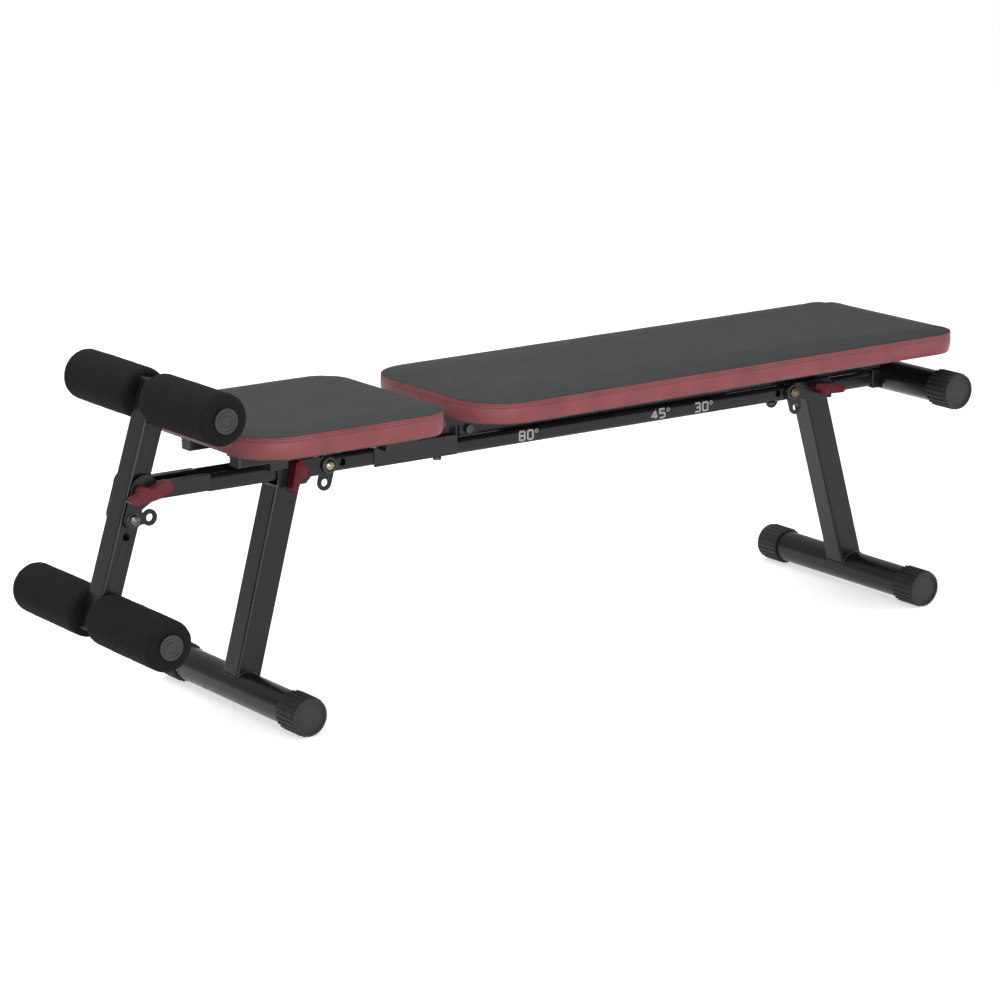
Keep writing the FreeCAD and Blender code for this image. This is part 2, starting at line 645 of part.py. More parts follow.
def washer(x, z, inner_face):
    ring = rod("y", "washer_radius", inner_face, f"{inner_face} + washer_thick", x=x, z=z)
    return cut(ring, rod("y", BOLT_HOLE, "0", "60", x=x, z=z))


def nut(x, z, outer):
    start = f"({outer}) + fit_gap + washer_thick"
    return cut(hexagon("bolt_head", start, f"{start} + head_thick", x, z),
               rod("y", BOLT_HOLE, "0", "80", x=x, z=z))


keep(group(*[pivot_bolt(*pivot) for pivot in PIVOTS]), "pivot_bolts")
keep(group(*[nut(*pivot) for pivot in PIVOTS]), "pivot_nuts")
keep(group(*[pair(washer(x, z, f"({outer}) + fit_gap")) for x, z, outer in PIVOTS]), "pivot_washers")
spacer = cut(
    rod("y", "washer_radius + 1", "post_width / 2 + fit_gap", f"{CHEEK_INNER} - fit_gap",
        x="post_pivot_x", z="post_pivot_z"),
    rod("y", BOLT_HOLE, "0", "60", x="post_pivot_x", z="post_pivot_z"),
)
keep(pair(spacer), "post_spacers")


def lock_pin(x, z, outer, inner_end):
    """A spring pin on the right side, its nose just short of the wall it locks into."""
    return fuse(
        rod("y", "pin_radius", f"-({outer} + 8)", f"-({inner_end})", x=x, z=z),
        rod("y", "pin_radius + 2.5", f"-({outer} + 1.4)", f"-({outer} + fit_gap)", x=x, z=z),
    )


def pin_grip(x, z, outer, discs):
    """A moulded finger grip on a lock pin: a lever blended through discs, each (along, up, radius)."""
    low, high = f"-({outer} + 1.5 + grip_thick)", f"-({outer} + 1.5)"
    pieces = [rod("y", "pin_radius + 5", low, high, x=x, z=z)]
    for along, up, radius in discs:
        pieces.append(rod("y", radius, low, high, x=f"{x} + {along}", z=f"{z} + {up}"))
    for (x0, z0, r0), (x1, z1, r1) in zip(discs, discs[1:]):
        length = math.hypot(x1 - x0, z1 - z0)
        across, rise = -(z1 - z0) / length, (x1 - x0) / length
        body = doc.addObject("PartDesign::Body", "Lever")
        corners = [(f"{x0 - across * r0}", f"{z0 - rise * r0}"), (f"{x1 - across * r1}", f"{z1 - rise * r1}"),
                   (f"{x1 + across * r1}", f"{z1 + rise * r1}"), (f"{x0 + across * r0}", f"{z0 + rise * r0}")]
        extruded(body, "Pad", polygon_sketch(body, "XZ_Plane", corners), "grip_thick")
        pieces.append(place(body, x, high, z))
    return cut(fuse(*pieces), rod("y", PIN_HOLE, f"-({outer} + 8.1)", "0", x=x, z=z))


PINS = [
    ("mid", "mid_pivot_x - lock_reach", "mid_pivot_z", EAR_OUTER, f"{EAR_INNER} - 0.3",
     [(-14, -25, 5), (-4, 10, 8)]),
    ("rear", "rear_pivot_x + lock_reach", "rear_pivot_z", EAR_OUTER, f"{EAR_INNER} - 0.3",
     [(-16, 7, 4.5), (12, 0, 8.5), (36, -4, 5.5)]),
    ("post", LOCK_X, LOCK_Z, "yoke_outer", "post_width / 2 + 0.3",
     [(-19.5, -9.5, 4.2), (0, -5.5, 8.3), (17, -2.3, 8.6), (35.5, 5, 8.3)]),
]
for name, x, z, outer, inner_end, discs in PINS:
    keep(lock_pin(x, z, outer, inner_end), name + "_lock_pin")
    keep(pin_grip(x, z, outer, discs), name + "_pin_grip")

# ---------------------------------------------------------------------------------------------
# Seat: two box tubes on two cross members, a board and its pad
# ---------------------------------------------------------------------------------------------

SUPPORT_LOW = "seat_bottom - support_height"
SUPPORT_OUTER = "support_inner + support_width"
SEAT_SCREWS = ["-400", "-300"]
SCREW_RADIUS = "3"
SCREW_HOLE = f"{SCREW_RADIUS} + fit_gap"


def screw(x, y, head_z, tip_z):
    return fuse(
        rod("z", "6", f"{head_z} - 3.2", head_z, x=x, y=y),
        rod("z", SCREW_RADIUS, f"{head_z} - 1", tip_z, x=x, y=y),
    )


def screw_holes(spots, y, z0, z1):
    return [rod("z", SCREW_HOLE, z0, z1, x=x, y=y) for x in spots]


SEAT_SCREW_Y = "support_inner + support_width / 2"
support = cut(
    lying_bar("support_start", "support_end", "support_inner", SUPPORT_OUTER, SUPPORT_LOW, "seat_bottom",
              "small_corner"),
    lying_bar("support_start - 1", "support_end + 1", "support_inner + sheet", f"{SUPPORT_OUTER} - sheet",
              f"{SUPPORT_LOW} + sheet", "seat_bottom - sheet", "small_corner - sheet"),
    *screw_holes(SEAT_SCREWS, SEAT_SCREW_Y, f"{SUPPORT_LOW} - 4", "seat_bottom + 1"),
)
keep(pair(support), "seat_supports")


def support_plug(face, out):
    """A ribbed plug in a support tube's end; out is -1 at the -X end."""
    ends = [f"{face} + ({out}) * plug_thick", face]
    inner = [face, f"{face} - ({out}) * 12"]
    if out == "1":
        ends.reverse()
        inner.reverse()
    plate = lying_bar(*ends, "support_inner", SUPPORT_OUTER, SUPPORT_LOW, "seat_bottom", "small_corner")
    stem = lying_bar(*inner, "support_inner + sheet + 0.1", f"{SUPPORT_OUTER} - sheet - 0.1",
                     f"{SUPPORT_LOW} + sheet + 0.1", "seat_bottom - sheet - 0.1", "small_corner - sheet")
    tip = f"{face} + ({out}) * (plug_thick - 1.2)"
    edge = f"{face} + ({out}) * (plug_thick + 1)"
    grooves = []
    for step in range(5):
        low = f"{SUPPORT_LOW} + 2 + {step} * 3.5"
        span = [tip, edge] if out == "1" else [edge, tip]
        grooves.append(box(*span, "support_inner - 1", f"{SUPPORT_OUTER} + 1", low, f"{low} + 1.5"))
    return cut(fuse(plate, stem), *grooves)


keep(group(pair(support_plug("support_start", "-1")), pair(support_plug("support_end", "1"))),
     "seat_support_plugs")


def hat_bar(x, half_length, width, low, top):
    """A pressed tray across the bench, open underneath and closed at its ends."""
    x0, x1 = f"({x}) - ({width}) / 2", f"({x}) + ({width}) / 2"
    return cut(
        box(x0, x1, f"-({half_length})", half_length, low, top),
        box(f"{x0} + sheet", f"{x1} - sheet", f"-({half_length} - sheet)", f"{half_length} - sheet",
            f"{low} - 1", f"{top} - sheet"),
    )


keep(
    group(hat_bar("member_front_x", "member_half", "member_width", "front_rail_top", SUPPORT_LOW),
          hat_bar("member_rear_x", "member_half", "rear_member_width", SLEEVE_TOP, SUPPORT_LOW)),
    "seat_cross_members",
)


def board(x0, x1, bottom, *holes):
    inside = [f"{x0} + board_inset", f"{x1} - board_inset", "pad_half_width - board_inset"]
    return cut(slab(*inside, bottom, f"{bottom} + board_thick", "pad_corner - board_inset"), *holes)


def cushion(x0, x1, bottom, top):
    """A soft pad with a recess underneath for its board, a little larger than the board all round."""
    room = "0.3"
    recess = slab(f"{x0} + board_inset - {room}", f"{x1} - board_inset + {room}",
                  f"pad_half_width - board_inset + {room}", f"{bottom} - 1",
                  f"{bottom} + board_thick + {room}", "pad_corner - board_inset")
    return cut(slab(x0, x1, "pad_half_width", bottom, top, "pad_corner", "pad_round"), recess)


seat_holes = []
for sign in ("", "-"):
    seat_holes += screw_holes(SEAT_SCREWS, f"{sign}({SEAT_SCREW_Y})", "seat_bottom - 1", "seat_bottom + 9")
keep(board("seat_start", "seat_end", "seat_bottom", *seat_holes), "seat_board")
keep(cushion("seat_start", "seat_end", "seat_bottom", "seat_top"), "seat_pad")
keep(group(*[pair(screw(x, SEAT_SCREW_Y, SUPPORT_LOW, "seat_bottom + 8")) for x in SEAT_SCREWS]),
     "seat_screws")

# ---------------------------------------------------------------------------------------------
# Backrest: spine tube, hinge leaf, cross bars, board and pad
# ---------------------------------------------------------------------------------------------

LEAF_INNER = "spine_half + 0.1"
LEAF_OUTER = f"{LEAF_INNER} + leaf_plate"
HINGE_INNER = f"{LEAF_OUTER} + 0.5"
HINGE_OUTER = f"{HINGE_INNER} + hinge_plate"
HINGE_HOLE = "hinge_radius + fit_gap"
SPINE_BOLT_Z = "(spine_bottom + spine_top) / 2"
SPINE_BOLT_HOLE = "4 + fit_gap"
CROSSBARS = ["20", "330", "640"]
BACK_SCREW_Y = "65"

strut_lugs = pressed_plate(
    [("strut_pivot_x - 9", "spine_bottom + 0.5"), ("strut_pivot_x - 6", "strut_z - 6"),
     ("strut_pivot_x + 6", "strut_z - 6"), ("strut_pivot_x + 9", "spine_bottom + 0.5")],
    "strut_half + 3.5",
    slot=([("strut_pivot_x - 20", "spine_bottom"), ("strut_pivot_x - 20", "strut_z - 20"),
           ("strut_pivot_x + 20", "strut_z - 20"), ("strut_pivot_x + 20", "spine_bottom")],
          "strut_half + 0.5"),
)
spine_body = fuse(
    cut(
        lying_bar("spine_start", "spine_end", "-spine_half", "spine_half", "spine_bottom", "spine_top",
                  "small_corner"),
        lying_bar("spine_start - 1", "spine_end + 1", "-(spine_half - spine_wall)",
                  "spine_half - spine_wall", "spine_bottom + spine_wall", "spine_top - spine_wall",
                  "small_corner - spine_wall"),
    ),
    strut_lugs,
)
keep(
    cut(spine_body,
        through_hole("spine_bolt_x", SPINE_BOLT_Z, SPINE_BOLT_HOLE),
        through_hole("strut_pivot_x", "strut_z", "strut_pin + fit_gap")),
    "backrest_spine",
)


def spine_plug(face, out):
    plate = [f"{face} + ({out}) * 2", face]
    stem = [face, f"{face} - ({out}) * 10"]
    if out == "1":
        plate.reverse()
        stem.reverse()
    inner = "spine_half - spine_wall - 0.1"
    return fuse(
        lying_bar(*plate, "-spine_half", "spine_half", "spine_bottom", "spine_top", "small_corner"),
        lying_bar(*stem, f"-({inner})", inner, "spine_bottom + spine_wall + 0.1",
                  "spine_top - spine_wall - 0.1", "small_corner - spine_wall"),
    )


keep(group(spine_plug("spine_start", "-1"), spine_plug("spine_end", "1")), "spine_plugs")

leaf_outline = [
    ("hinge_x - hinge_eye", "hinge_z"), ("hinge_x", "hinge_z - hinge_eye"),
    ("spine_start + 3", "spine_top - 4"),
    ("spine_start + 3", "rear_rail_top + 1"), ("spine_bolt_x + 18", "rear_rail_top + 1"),
    ("spine_bolt_x + 18", "spine_top + 4"), ("-40", "back_bottom - 9"), ("-40", "back_bottom"),
    ("hinge_x - hinge_eye", "back_bottom"),
]
leaf_room = [("hinge_x - 40", "320"), ("0", "320"), ("0", "back_bottom - leaf_plate"),
             ("hinge_x - 40", "back_bottom - leaf_plate")]
leaf_eye = rod("y", "hinge_eye", LEAF_INNER, LEAF_OUTER, x="hinge_x", z="hinge_z")
leaf = cut(
    fuse(pressed_plate(leaf_outline, LEAF_OUTER, slot=(leaf_room, LEAF_INNER)),
         leaf_eye, mirrored(leaf_eye)),
    through_hole("hinge_x", "hinge_z", HINGE_HOLE),
    through_hole("spine_bolt_x", SPINE_BOLT_Z, SPINE_BOLT_HOLE),
)
keep(leaf, "hinge_leaf")

hinge_outline = [
    ("hinge_x - 18", SLEEVE_TOP), ("hinge_x + 18", SLEEVE_TOP), ("hinge_x + 18", f"{SLEEVE_TOP} + 3"),
    ("hinge_x + hinge_eye", "hinge_z"), ("hinge_x - hinge_eye", "hinge_z"),
    ("hinge_x - 18", f"{SLEEVE_TOP} + 3"),
]
hinge_room = [("hinge_x - 40", f"{SLEEVE_TOP} + 3"), ("hinge_x + 40", f"{SLEEVE_TOP} + 3"),
              ("hinge_x + 40", "400"), ("hinge_x - 40", "400")]
hinge_cheek = rod("y", "hinge_eye", HINGE_INNER, HINGE_OUTER, x="hinge_x", z="hinge_z")
keep(
    cut(fuse(pressed_plate(hinge_outline, HINGE_OUTER, slot=(hinge_room, HINGE_INNER)),
             hinge_cheek, mirrored(hinge_cheek)),
        through_hole("hinge_x", "hinge_z", HINGE_HOLE)),
    "hinge_bracket",
)
keep(
    fuse(rod("y", "hinge_radius", f"-({HINGE_OUTER} + 1)", f"{HINGE_OUTER} + 3", x="hinge_x", z="hinge_z"),
         rod("y", "hinge_radius + 3", f"-({HINGE_OUTER} + 4)", f"-({HINGE_OUTER})", x="hinge_x", z="hinge_z"),
         rod("y", "hinge_radius + 3", HINGE_OUTER, f"{HINGE_OUTER} + 3", x="hinge_x", z="hinge_z")),
    "hinge_pin",
)
keep(
    fuse(rod("y", "4", f"-({LEAF_OUTER} + 1)", f"{LEAF_OUTER} + 6", x="spine_bolt_x", z=SPINE_BOLT_Z),
         rod("y", "6.5", f"-({LEAF_OUTER} + 5)", f"-({LEAF_OUTER})", x="spine_bolt_x", z=SPINE_BOLT_Z)),
    "spine_bolt",
)
keep(
    cut(hexagon("7.5", LEAF_OUTER, f"{LEAF_OUTER} + 5", "spine_bolt_x", SPINE_BOLT_Z),
        rod("y", SPINE_BOLT_HOLE, "0", "60", x="spine_bolt_x", z=SPINE_BOLT_Z)),
    "spine_bolt_nut",
)

back_holes = []
for sign in ("", "-"):
    back_holes += screw_holes(CROSSBARS, f"{sign}{BACK_SCREW_Y}", "back_bottom - 10", "back_bottom + 9")
keep(
    group(*[
        cut(hat_bar(x, "crossbar_half", "crossbar_width", "spine_top", "back_bottom"),
            *screw_holes([x], BACK_SCREW_Y, "back_bottom - 10", "back_bottom + 1"),
            *screw_holes([x], f"-{BACK_SCREW_Y}", "back_bottom - 10", "back_bottom + 1"))
        for x in CROSSBARS
    ]),
    "backrest_cross_bars",
)
keep(board("back_start", "back_end", "back_bottom", *back_holes), "back_board")
keep(cushion("back_start", "back_end", "back_bottom", "back_top"), "back_pad")
keep(group(*[pair(screw(x, BACK_SCREW_Y, "back_bottom - sheet", "back_bottom + 8")) for x in CROSSBARS]),
     "back_screws")

# ---------------------------------------------------------------------------------------------
# Strut: a flat bar from the spine down to a foot bar that rests on a notched rack
# ---------------------------------------------------------------------------------------------

FOOT_X = "strut_pivot_x + strut_length"
strut_bar = fuse(
    box("strut_pivot_x", FOOT_X, "-strut_half", "strut_half", "strut_z - strut_radius",
        "strut_z + strut_radius"),
    rod("y", "strut_radius", "-strut_half", "strut_half", x="strut_pivot_x", z="strut_z"),
    rod("y", "strut_radius", "-strut_half", "strut_half", x=FOOT_X, z="strut_z"),
)
keep(
    cut(strut_bar,
        through_hole("strut_pivot_x", "strut_z", "strut_pin + fit_gap"),
        through_hole(FOOT_X, "strut_z", "strut_pin + fit_gap")),
    "strut_arm",
)
keep(
    rod("y", "strut_pin", "-(strut_half + 5)", "strut_half + 5", x="strut_pivot_x", z="strut_z"),
    "strut_pivot_pin",
)
foot_roller = cut(
    rod("y", "foot_bar_radius", "strut_half + 0.2", "foot_bar_half - 0.6", x=FOOT_X, z="strut_z"),
    rod("y", "strut_pin + fit_gap", "0", "40", x=FOOT_X, z="strut_z"),
)
keep(rod("y", "strut_pin", "-foot_bar_half", "foot_bar_half", x=FOOT_X, z="strut_z"), "strut_foot_pin")
keep(pair(foot_roller), "strut_foot_rollers")

STRUT_TURN = 0.8858
BACKREST_STOPS = (30, 45, 80)


def foot_at(angle):
    """Where the strut's foot stands along the beam with the backrest at an angle."""
    return (f"hinge_x + (strut_pivot_x - hinge_x) * cos({angle}) + (hinge_z - strut_z) * sin({angle})"
            f" + strut_length * cos({STRUT_TURN} * {angle})")


RACK_HALF = "rail_gap_half - 0.1"
rack = cut(
    box("rack_start", "rack_end", f"-({RACK_HALF})", RACK_HALF, "rack_floor", "rack_top"),
    box("rack_start - 1", "rack_end + 1", "-(strut_half + 1)", "strut_half + 1", "rack_floor + 2",
        "rack_top + 1"),
    *[rod("y", "foot_bar_radius + 0.4", "-40", "40", x=foot_at(angle), z="rack_top + 1")
      for angle in BACKREST_STOPS],
)
keep(rack, "strut_rack")

# ---------------------------------------------------------------------------------------------
# Check every object, then write every sub-part
# ---------------------------------------------------------------------------------------------

doc.recompute()
failed = [item.Name for item in doc.Objects if "Invalid" in item.State or "Error" in item.State]
for part in PARTS:
    if part.Shape.isNull() or not part.Shape.isValid() or not part.Shape.Solids:
        failed.append(part.Label)
if failed:
    sys.exit("failed objects: " + ", ".join(failed))

os.makedirs("parts", exist_ok=True)
for part in PARTS:
    part.Shape.exportStep(f"parts/{part.Label}.step")
print(len(PARTS), "sub-parts written")
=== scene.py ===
import json
import math

import bpy
import numpy as np
from mathutils import Matrix, Vector, noise


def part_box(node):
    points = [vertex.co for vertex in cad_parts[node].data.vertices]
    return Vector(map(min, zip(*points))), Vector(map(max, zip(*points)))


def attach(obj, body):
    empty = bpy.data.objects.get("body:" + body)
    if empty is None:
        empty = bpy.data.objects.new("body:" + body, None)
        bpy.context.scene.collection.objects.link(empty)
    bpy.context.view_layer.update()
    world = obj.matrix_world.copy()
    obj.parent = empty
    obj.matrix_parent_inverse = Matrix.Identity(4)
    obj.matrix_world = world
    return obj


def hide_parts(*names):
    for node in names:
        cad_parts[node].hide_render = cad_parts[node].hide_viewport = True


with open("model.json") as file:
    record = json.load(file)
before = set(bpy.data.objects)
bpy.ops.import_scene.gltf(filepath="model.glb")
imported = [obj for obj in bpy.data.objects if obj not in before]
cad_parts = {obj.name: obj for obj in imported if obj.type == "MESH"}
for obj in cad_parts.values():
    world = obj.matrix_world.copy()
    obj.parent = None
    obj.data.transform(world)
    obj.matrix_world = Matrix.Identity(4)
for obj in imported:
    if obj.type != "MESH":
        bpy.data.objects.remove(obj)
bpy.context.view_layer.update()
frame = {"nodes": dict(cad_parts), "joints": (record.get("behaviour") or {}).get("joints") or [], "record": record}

# All sizes are metres in the frame of the CAD model: +X to the head end, +Z up, and +Y to the left of
# someone who faces the head end.
MM = 0.001
SCENE = bpy.context.scene
SLOT_OF = {part["node"]: part["material_slot"] for part in frame["record"]["subparts"]}


# ---------------------------------------------------------------------------------------------
# Mesh helpers
# ---------------------------------------------------------------------------------------------


def points_of(node):
    """The vertices of a CAD node, as rows."""
    return np.array([v.co for v in frame["nodes"][node].data.vertices], float)


def mesh_piece(name, verts, faces, *materials, smooth=True, face_material=None):
    """A mesh object from vertices and faces; face_material gives each face's material number."""
    mesh = bpy.data.meshes.new(name)
    mesh.from_pydata([tuple(v) for v in verts], [], faces)
    for material in materials:
        mesh.materials.append(material)
    if face_material is not None:
        mesh.polygons.foreach_set("material_index", face_material)
    mesh.polygons.foreach_set("use_smooth", [smooth] * len(mesh.polygons))
    mesh.update()
    piece = bpy.data.objects.new(name, mesh)
    SCENE.collection.objects.link(piece)
    return piece


def add_part(verts, faces, more_verts, more_faces):
    """Appends one shell to a growing list of vertices and faces."""
    start = len(verts)
    verts.extend(more_verts)
    faces.extend([tuple(start + i for i in face) for face in more_faces])


def ring_faces(rows, count, closed_ends=True):
    """Quads between rows of count points each; the end rows are capped."""
    faces = []
    for row in range(rows - 1):
        for i in range(count):
            j = (i + 1) % count
            faces.append((row * count + i, row * count + j, (row + 1) * count + j, (row + 1) * count + i))
    if closed_ends:
        faces.append(tuple(reversed(range(count))))
        faces.append(tuple(range((rows - 1) * count, rows * count)))
    return faces


def turned(profile, centre, segments, side, phase=0.0):
    """A body turned about an axis along Y: profile rows are (radius, distance along side * Y)."""
    x, z = centre
    verts = []
    for radius, along in profile:
        for k in range(segments):
            angle = 2 * math.pi * (k + phase) / segments
            verts.append((x + radius * math.cos(angle), side * along, z + radius * math.sin(angle)))
    faces = ring_faces(len(profile), segments)
    if side > 0:
        faces = [tuple(reversed(face)) for face in faces]
    return verts, faces


def bead_shell(path, radius, seed, closed=True):
    """A weld bead along a path: a round section whose thickness ripples along it."""
    sides = 8
    ripple = 0.16
    count = len(path)
    verts = []
    for i, here in enumerate(path):
        before = path[i - 1] if closed or i > 0 else here
        after = path[(i + 1) % count] if closed or i < count - 1 else here
        along = (Vector(after) - Vector(before)).normalized()
        across = along.cross(Vector((0, 0, 1)))
        if across.length < 0.05:
            across = along.cross(Vector((0, 1, 0)))
        across.normalize()
        other = across.cross(along)
        swell = 1 + ripple * math.sin(i * 2.1 + seed) + ripple * noise.noise(Vector((i * 0.37, seed, 0)))
        for k in range(sides):
            angle = 2 * math.pi * k / sides
            verts.append(Vector(here) + (across * math.cos(angle) + other * math.sin(angle)) * radius * swell)
    faces = []
    for i in range(count if closed else count - 1):
        j = (i + 1) % count
        for k in range(sides):
            n = (k + 1) % sides
            faces.append((i * sides + k, j * sides + k, j * sides + n, i * sides + n))
    if not closed:
        faces.append(tuple(reversed(range(sides))))
        faces.append(tuple(range((count - 1) * sides, count * sides)))
    return verts, faces


def walk(path, pitch):
    """Points and directions at equal steps along a closed polyline."""
    spots = [Vector(p) for p in path]
    spots.append(spots[0])
    lengths = [(b - a).length for a, b in zip(spots, spots[1:])]
    total = sum(lengths)
    steps = max(1, int(total / pitch))
    found, index, start = [], 0, 0.0
    for step in range(steps):
        goal = total * (step + 0.5) / steps
        while start + lengths[index] < goal:
            start += lengths[index]
            index += 1
        here, after = spots[index], spots[index + 1]
        share = (goal - start) / lengths[index]
        found.append((here.lerp(after, share), (after - here).normalized()))
    return found


# ---------------------------------------------------------------------------------------------
# Materials
# ---------------------------------------------------------------------------------------------


class Recipe:
    """A short way to build a procedural material around a Principled shader."""

    def __init__(self, name):
        self.material = bpy.data.materials.new(name)
        self.material.use_nodes = True
        self.tree = self.material.node_tree
        self.shader = self.tree.nodes["Principled BSDF"]
        self.place = self.add("ShaderNodeTexCoord").outputs["Object"]
        self.normal = None

    def add(self, kind, inputs=None, **settings):
        """A new node with its inputs plugged and its settings made."""
        node = self.tree.nodes.new(kind)
        for key, value in settings.items():
            setattr(node, key, value)
        for key, value in (inputs or {}).items():
            self.plug(node.inputs[key], value)
        return node

    def plug(self, socket, value):
        """Links a socket to another one, or gives it a plain value."""
        if isinstance(value, bpy.types.NodeSocket):
            self.tree.links.new(value, socket)
        elif isinstance(value, tuple) and len(value) == 3 and socket.type == "RGBA":
            socket.default_value = (*value, 1.0)
        else:
            socket.default_value = value

    def stretch(self, x, y, z):
        """Object coordinates scaled differently along each axis."""
        return self.add("ShaderNodeMapping", {"Vector": self.place, "Scale": (x, y, z)}).outputs["Vector"]

    def noise(self, scale, detail=2.0, where=None):
        sockets = {"Vector": where or self.place, "Scale": scale, "Detail": detail}
        return self.add("ShaderNodeTexNoise", sockets).outputs["Fac"]

    def cells(self, scale):
        """The distance to the edge of a pattern of cells."""
        sockets = {"Vector": self.place, "Scale": scale}
        return self.add("ShaderNodeTexVoronoi", sockets, feature="DISTANCE_TO_EDGE").outputs["Distance"]

    def spread(self, value, low, high, start=0.3, end=0.7):
        """Maps a value from start..end to low..high."""
        sockets = {"Value": value, "From Min": start, "From Max": end, "To Min": low, "To Max": high}
        return self.add("ShaderNodeMapRange", sockets).outputs["Result"]

    def blend(self, share, first, second):
        node = self.add("ShaderNodeMix", data_type="RGBA")
        self.plug(node.inputs[0], share)
        self.plug(node.inputs[6], first)
        self.plug(node.inputs[7], second)
        return node.outputs[2]

    def bump(self, height, strength, depth):
        sockets = {"Height": height, "Strength": strength, "Distance": depth}
        if self.normal is not None:
            sockets["Normal"] = self.normal
        self.normal = self.add("ShaderNodeBump", sockets).outputs["Normal"]

    def edges(self, start=0.53, end=0.62):
        """One on sharp outward edges, zero elsewhere."""
        pointed = self.add("ShaderNodeNewGeometry").outputs["Pointiness"]
        return self.spread(pointed, 0.0, 1.0, start, end)

    def finish(self, colour, roughness, **others):
        self.plug(self.shader.inputs["Base Color"], colour)
        self.plug(self.shader.inputs["Roughness"], roughness)
        for key, value in others.items():
            self.plug(self.shader.inputs[key.replace("_", " ")], value)
        if self.normal is not None:
            self.plug(self.shader.inputs["Normal"], self.normal)
        return self.material


def powder_coat():
    """Satin black powder coat: orange-peel skin, faint cloudiness, edges rubbed brighter."""
    r = Recipe("black_powder_coat")
    cloud = r.blend(r.spread(r.noise(28, 4), 0, 1), (0.0066, 0.0058, 0.0069), (0.0100, 0.0088, 0.0103))
    colour = r.blend(r.edges(), cloud, (0.034, 0.032, 0.035))
    r.bump(r.noise(240, 3), 0.16, 0.0005)
    r.bump(r.noise(1500, 2), 0.22, 0.00018)
    return r.finish(colour, r.spread(r.noise(70, 5), 0.24, 0.33), Specular_IOR_Level=0.30)


def zinc(name, dark, light, roughness=0.3):
    """Plated steel: blotchy plating with fine scratches."""
    r = Recipe(name)
    colour = r.blend(r.spread(r.noise(180, 5), 0, 1), dark, light)
    r.bump(r.noise(900, 2, r.stretch(1, 0.2, 1)), 0.25, 0.00012)
    return r.finish(colour, r.spread(r.noise(320, 4), roughness, roughness + 0.2), Metallic=1.0)


def rubber(name, dark, light, roughness=0.62):
    """Moulded rubber or plastic with a fine spark-eroded grain."""
    r = Recipe(name)
    colour = r.blend(r.spread(r.noise(60, 5), 0, 1), dark, light)
    colour = r.blend(r.edges(0.55, 0.68), colour, tuple(1.8 * c for c in light))
    r.bump(r.noise(1900, 3), 0.35, 0.00016)
    return r.finish(colour, r.spread(r.noise(150, 3), roughness - 0.07, roughness + 0.07))


def foam():
    """Dense black foam: small open pores over a soft mottled skin."""
    r = Recipe("roller_foam")
    colour = r.blend(r.spread(r.noise(520, 5), 0, 1), (0.0062, 0.0056, 0.0062), (0.0165, 0.0148, 0.016))
    r.bump(r.noise(130, 4), 0.3, 0.0005)
    r.bump(r.cells(900), 0.5, 0.0005)
    r.bump(r.noise(1900, 3), 0.5, 0.0003)
    return r.finish(colour, 0.94, Specular_IOR_Level=0.18)


def leather(name, dark, light, roughness, grain, depth, **others):
    """Coated fabric: pebbled grain of two sizes, creases and a little mottling."""
    r = Recipe(name)
    pebbles = r.cells(grain)
    mottled = r.blend(r.spread(r.noise(22, 6), 0, 1), dark, light)
    colour = r.blend(r.spread(pebbles, 0.35, 0.0, 0.0, 0.12), mottled, tuple(0.6 * c for c in dark))
    r.bump(r.noise(38, 5), 0.25, 0.0009)
    r.bump(r.spread(pebbles, 0, 1, 0.0, 0.35), 0.5, depth)
    r.bump(r.noise(grain * 2.4, 2), 0.3, depth * 0.5)
    return r.finish(colour, r.spread(r.noise(300, 4), roughness - 0.05, roughness + 0.06), **others)


def red_plastic():
    """Semi-gloss dark red moulded plastic."""
    r = Recipe("red_plastic")
    colour = r.blend(r.spread(r.noise(90, 4), 0, 1), (0.090, 0.0030, 0.0080), (0.126, 0.0052, 0.0120))
    colour = r.blend(r.edges(0.52, 0.62), colour, (0.16, 0.03, 0.038))
    r.bump(r.noise(1300, 2), 0.16, 0.00018)
    return r.finish(colour, r.spread(r.noise(200, 3), 0.26, 0.36), Specular_IOR_Level=0.14)


def plywood():
    """Plywood with its grain along X, under a dark stain."""
    r = Recipe("plywood")
    along = r.stretch(2.2, 26, 60)
    grain = r.spread(r.noise(6, 7, along), 0, 1, 0.35, 0.65)
    colour = r.blend(grain, (0.016, 0.013, 0.011), (0.034, 0.028, 0.024))
    r.bump(r.noise(22, 6, along), 0.4, 0.0004)
    return r.finish(colour, r.spread(r.noise(40, 4, along), 0.62, 0.8))


def woven(name, dark, light):
    """Thread or lining cloth: crossed fine ribs."""
    r = Recipe(name)
    ribs = r.noise(900, 2, r.stretch(1, 3.2, 3.2))
    colour = r.blend(r.spread(ribs, 0, 1), dark, light)
    r.bump(ribs, 0.7, 0.0003)
    return r.finish(colour, r.spread(r.noise(500, 2), 0.78, 0.92), Sheen_Weight=0.15)


def printed_ink():
    """Screen-printed pale grey ink with thin worn spots."""
    r = Recipe("printed_ink")
    worn = r.spread(r.noise(700, 5), 0.4, 0.0, 0.24, 0.36)
    colour = r.blend(worn, (0.50, 0.50, 0.52), (0.24, 0.24, 0.25))
    r.bump(r.noise(1500, 2), 0.3, 0.0001)
    return r.finish(colour, 0.55)


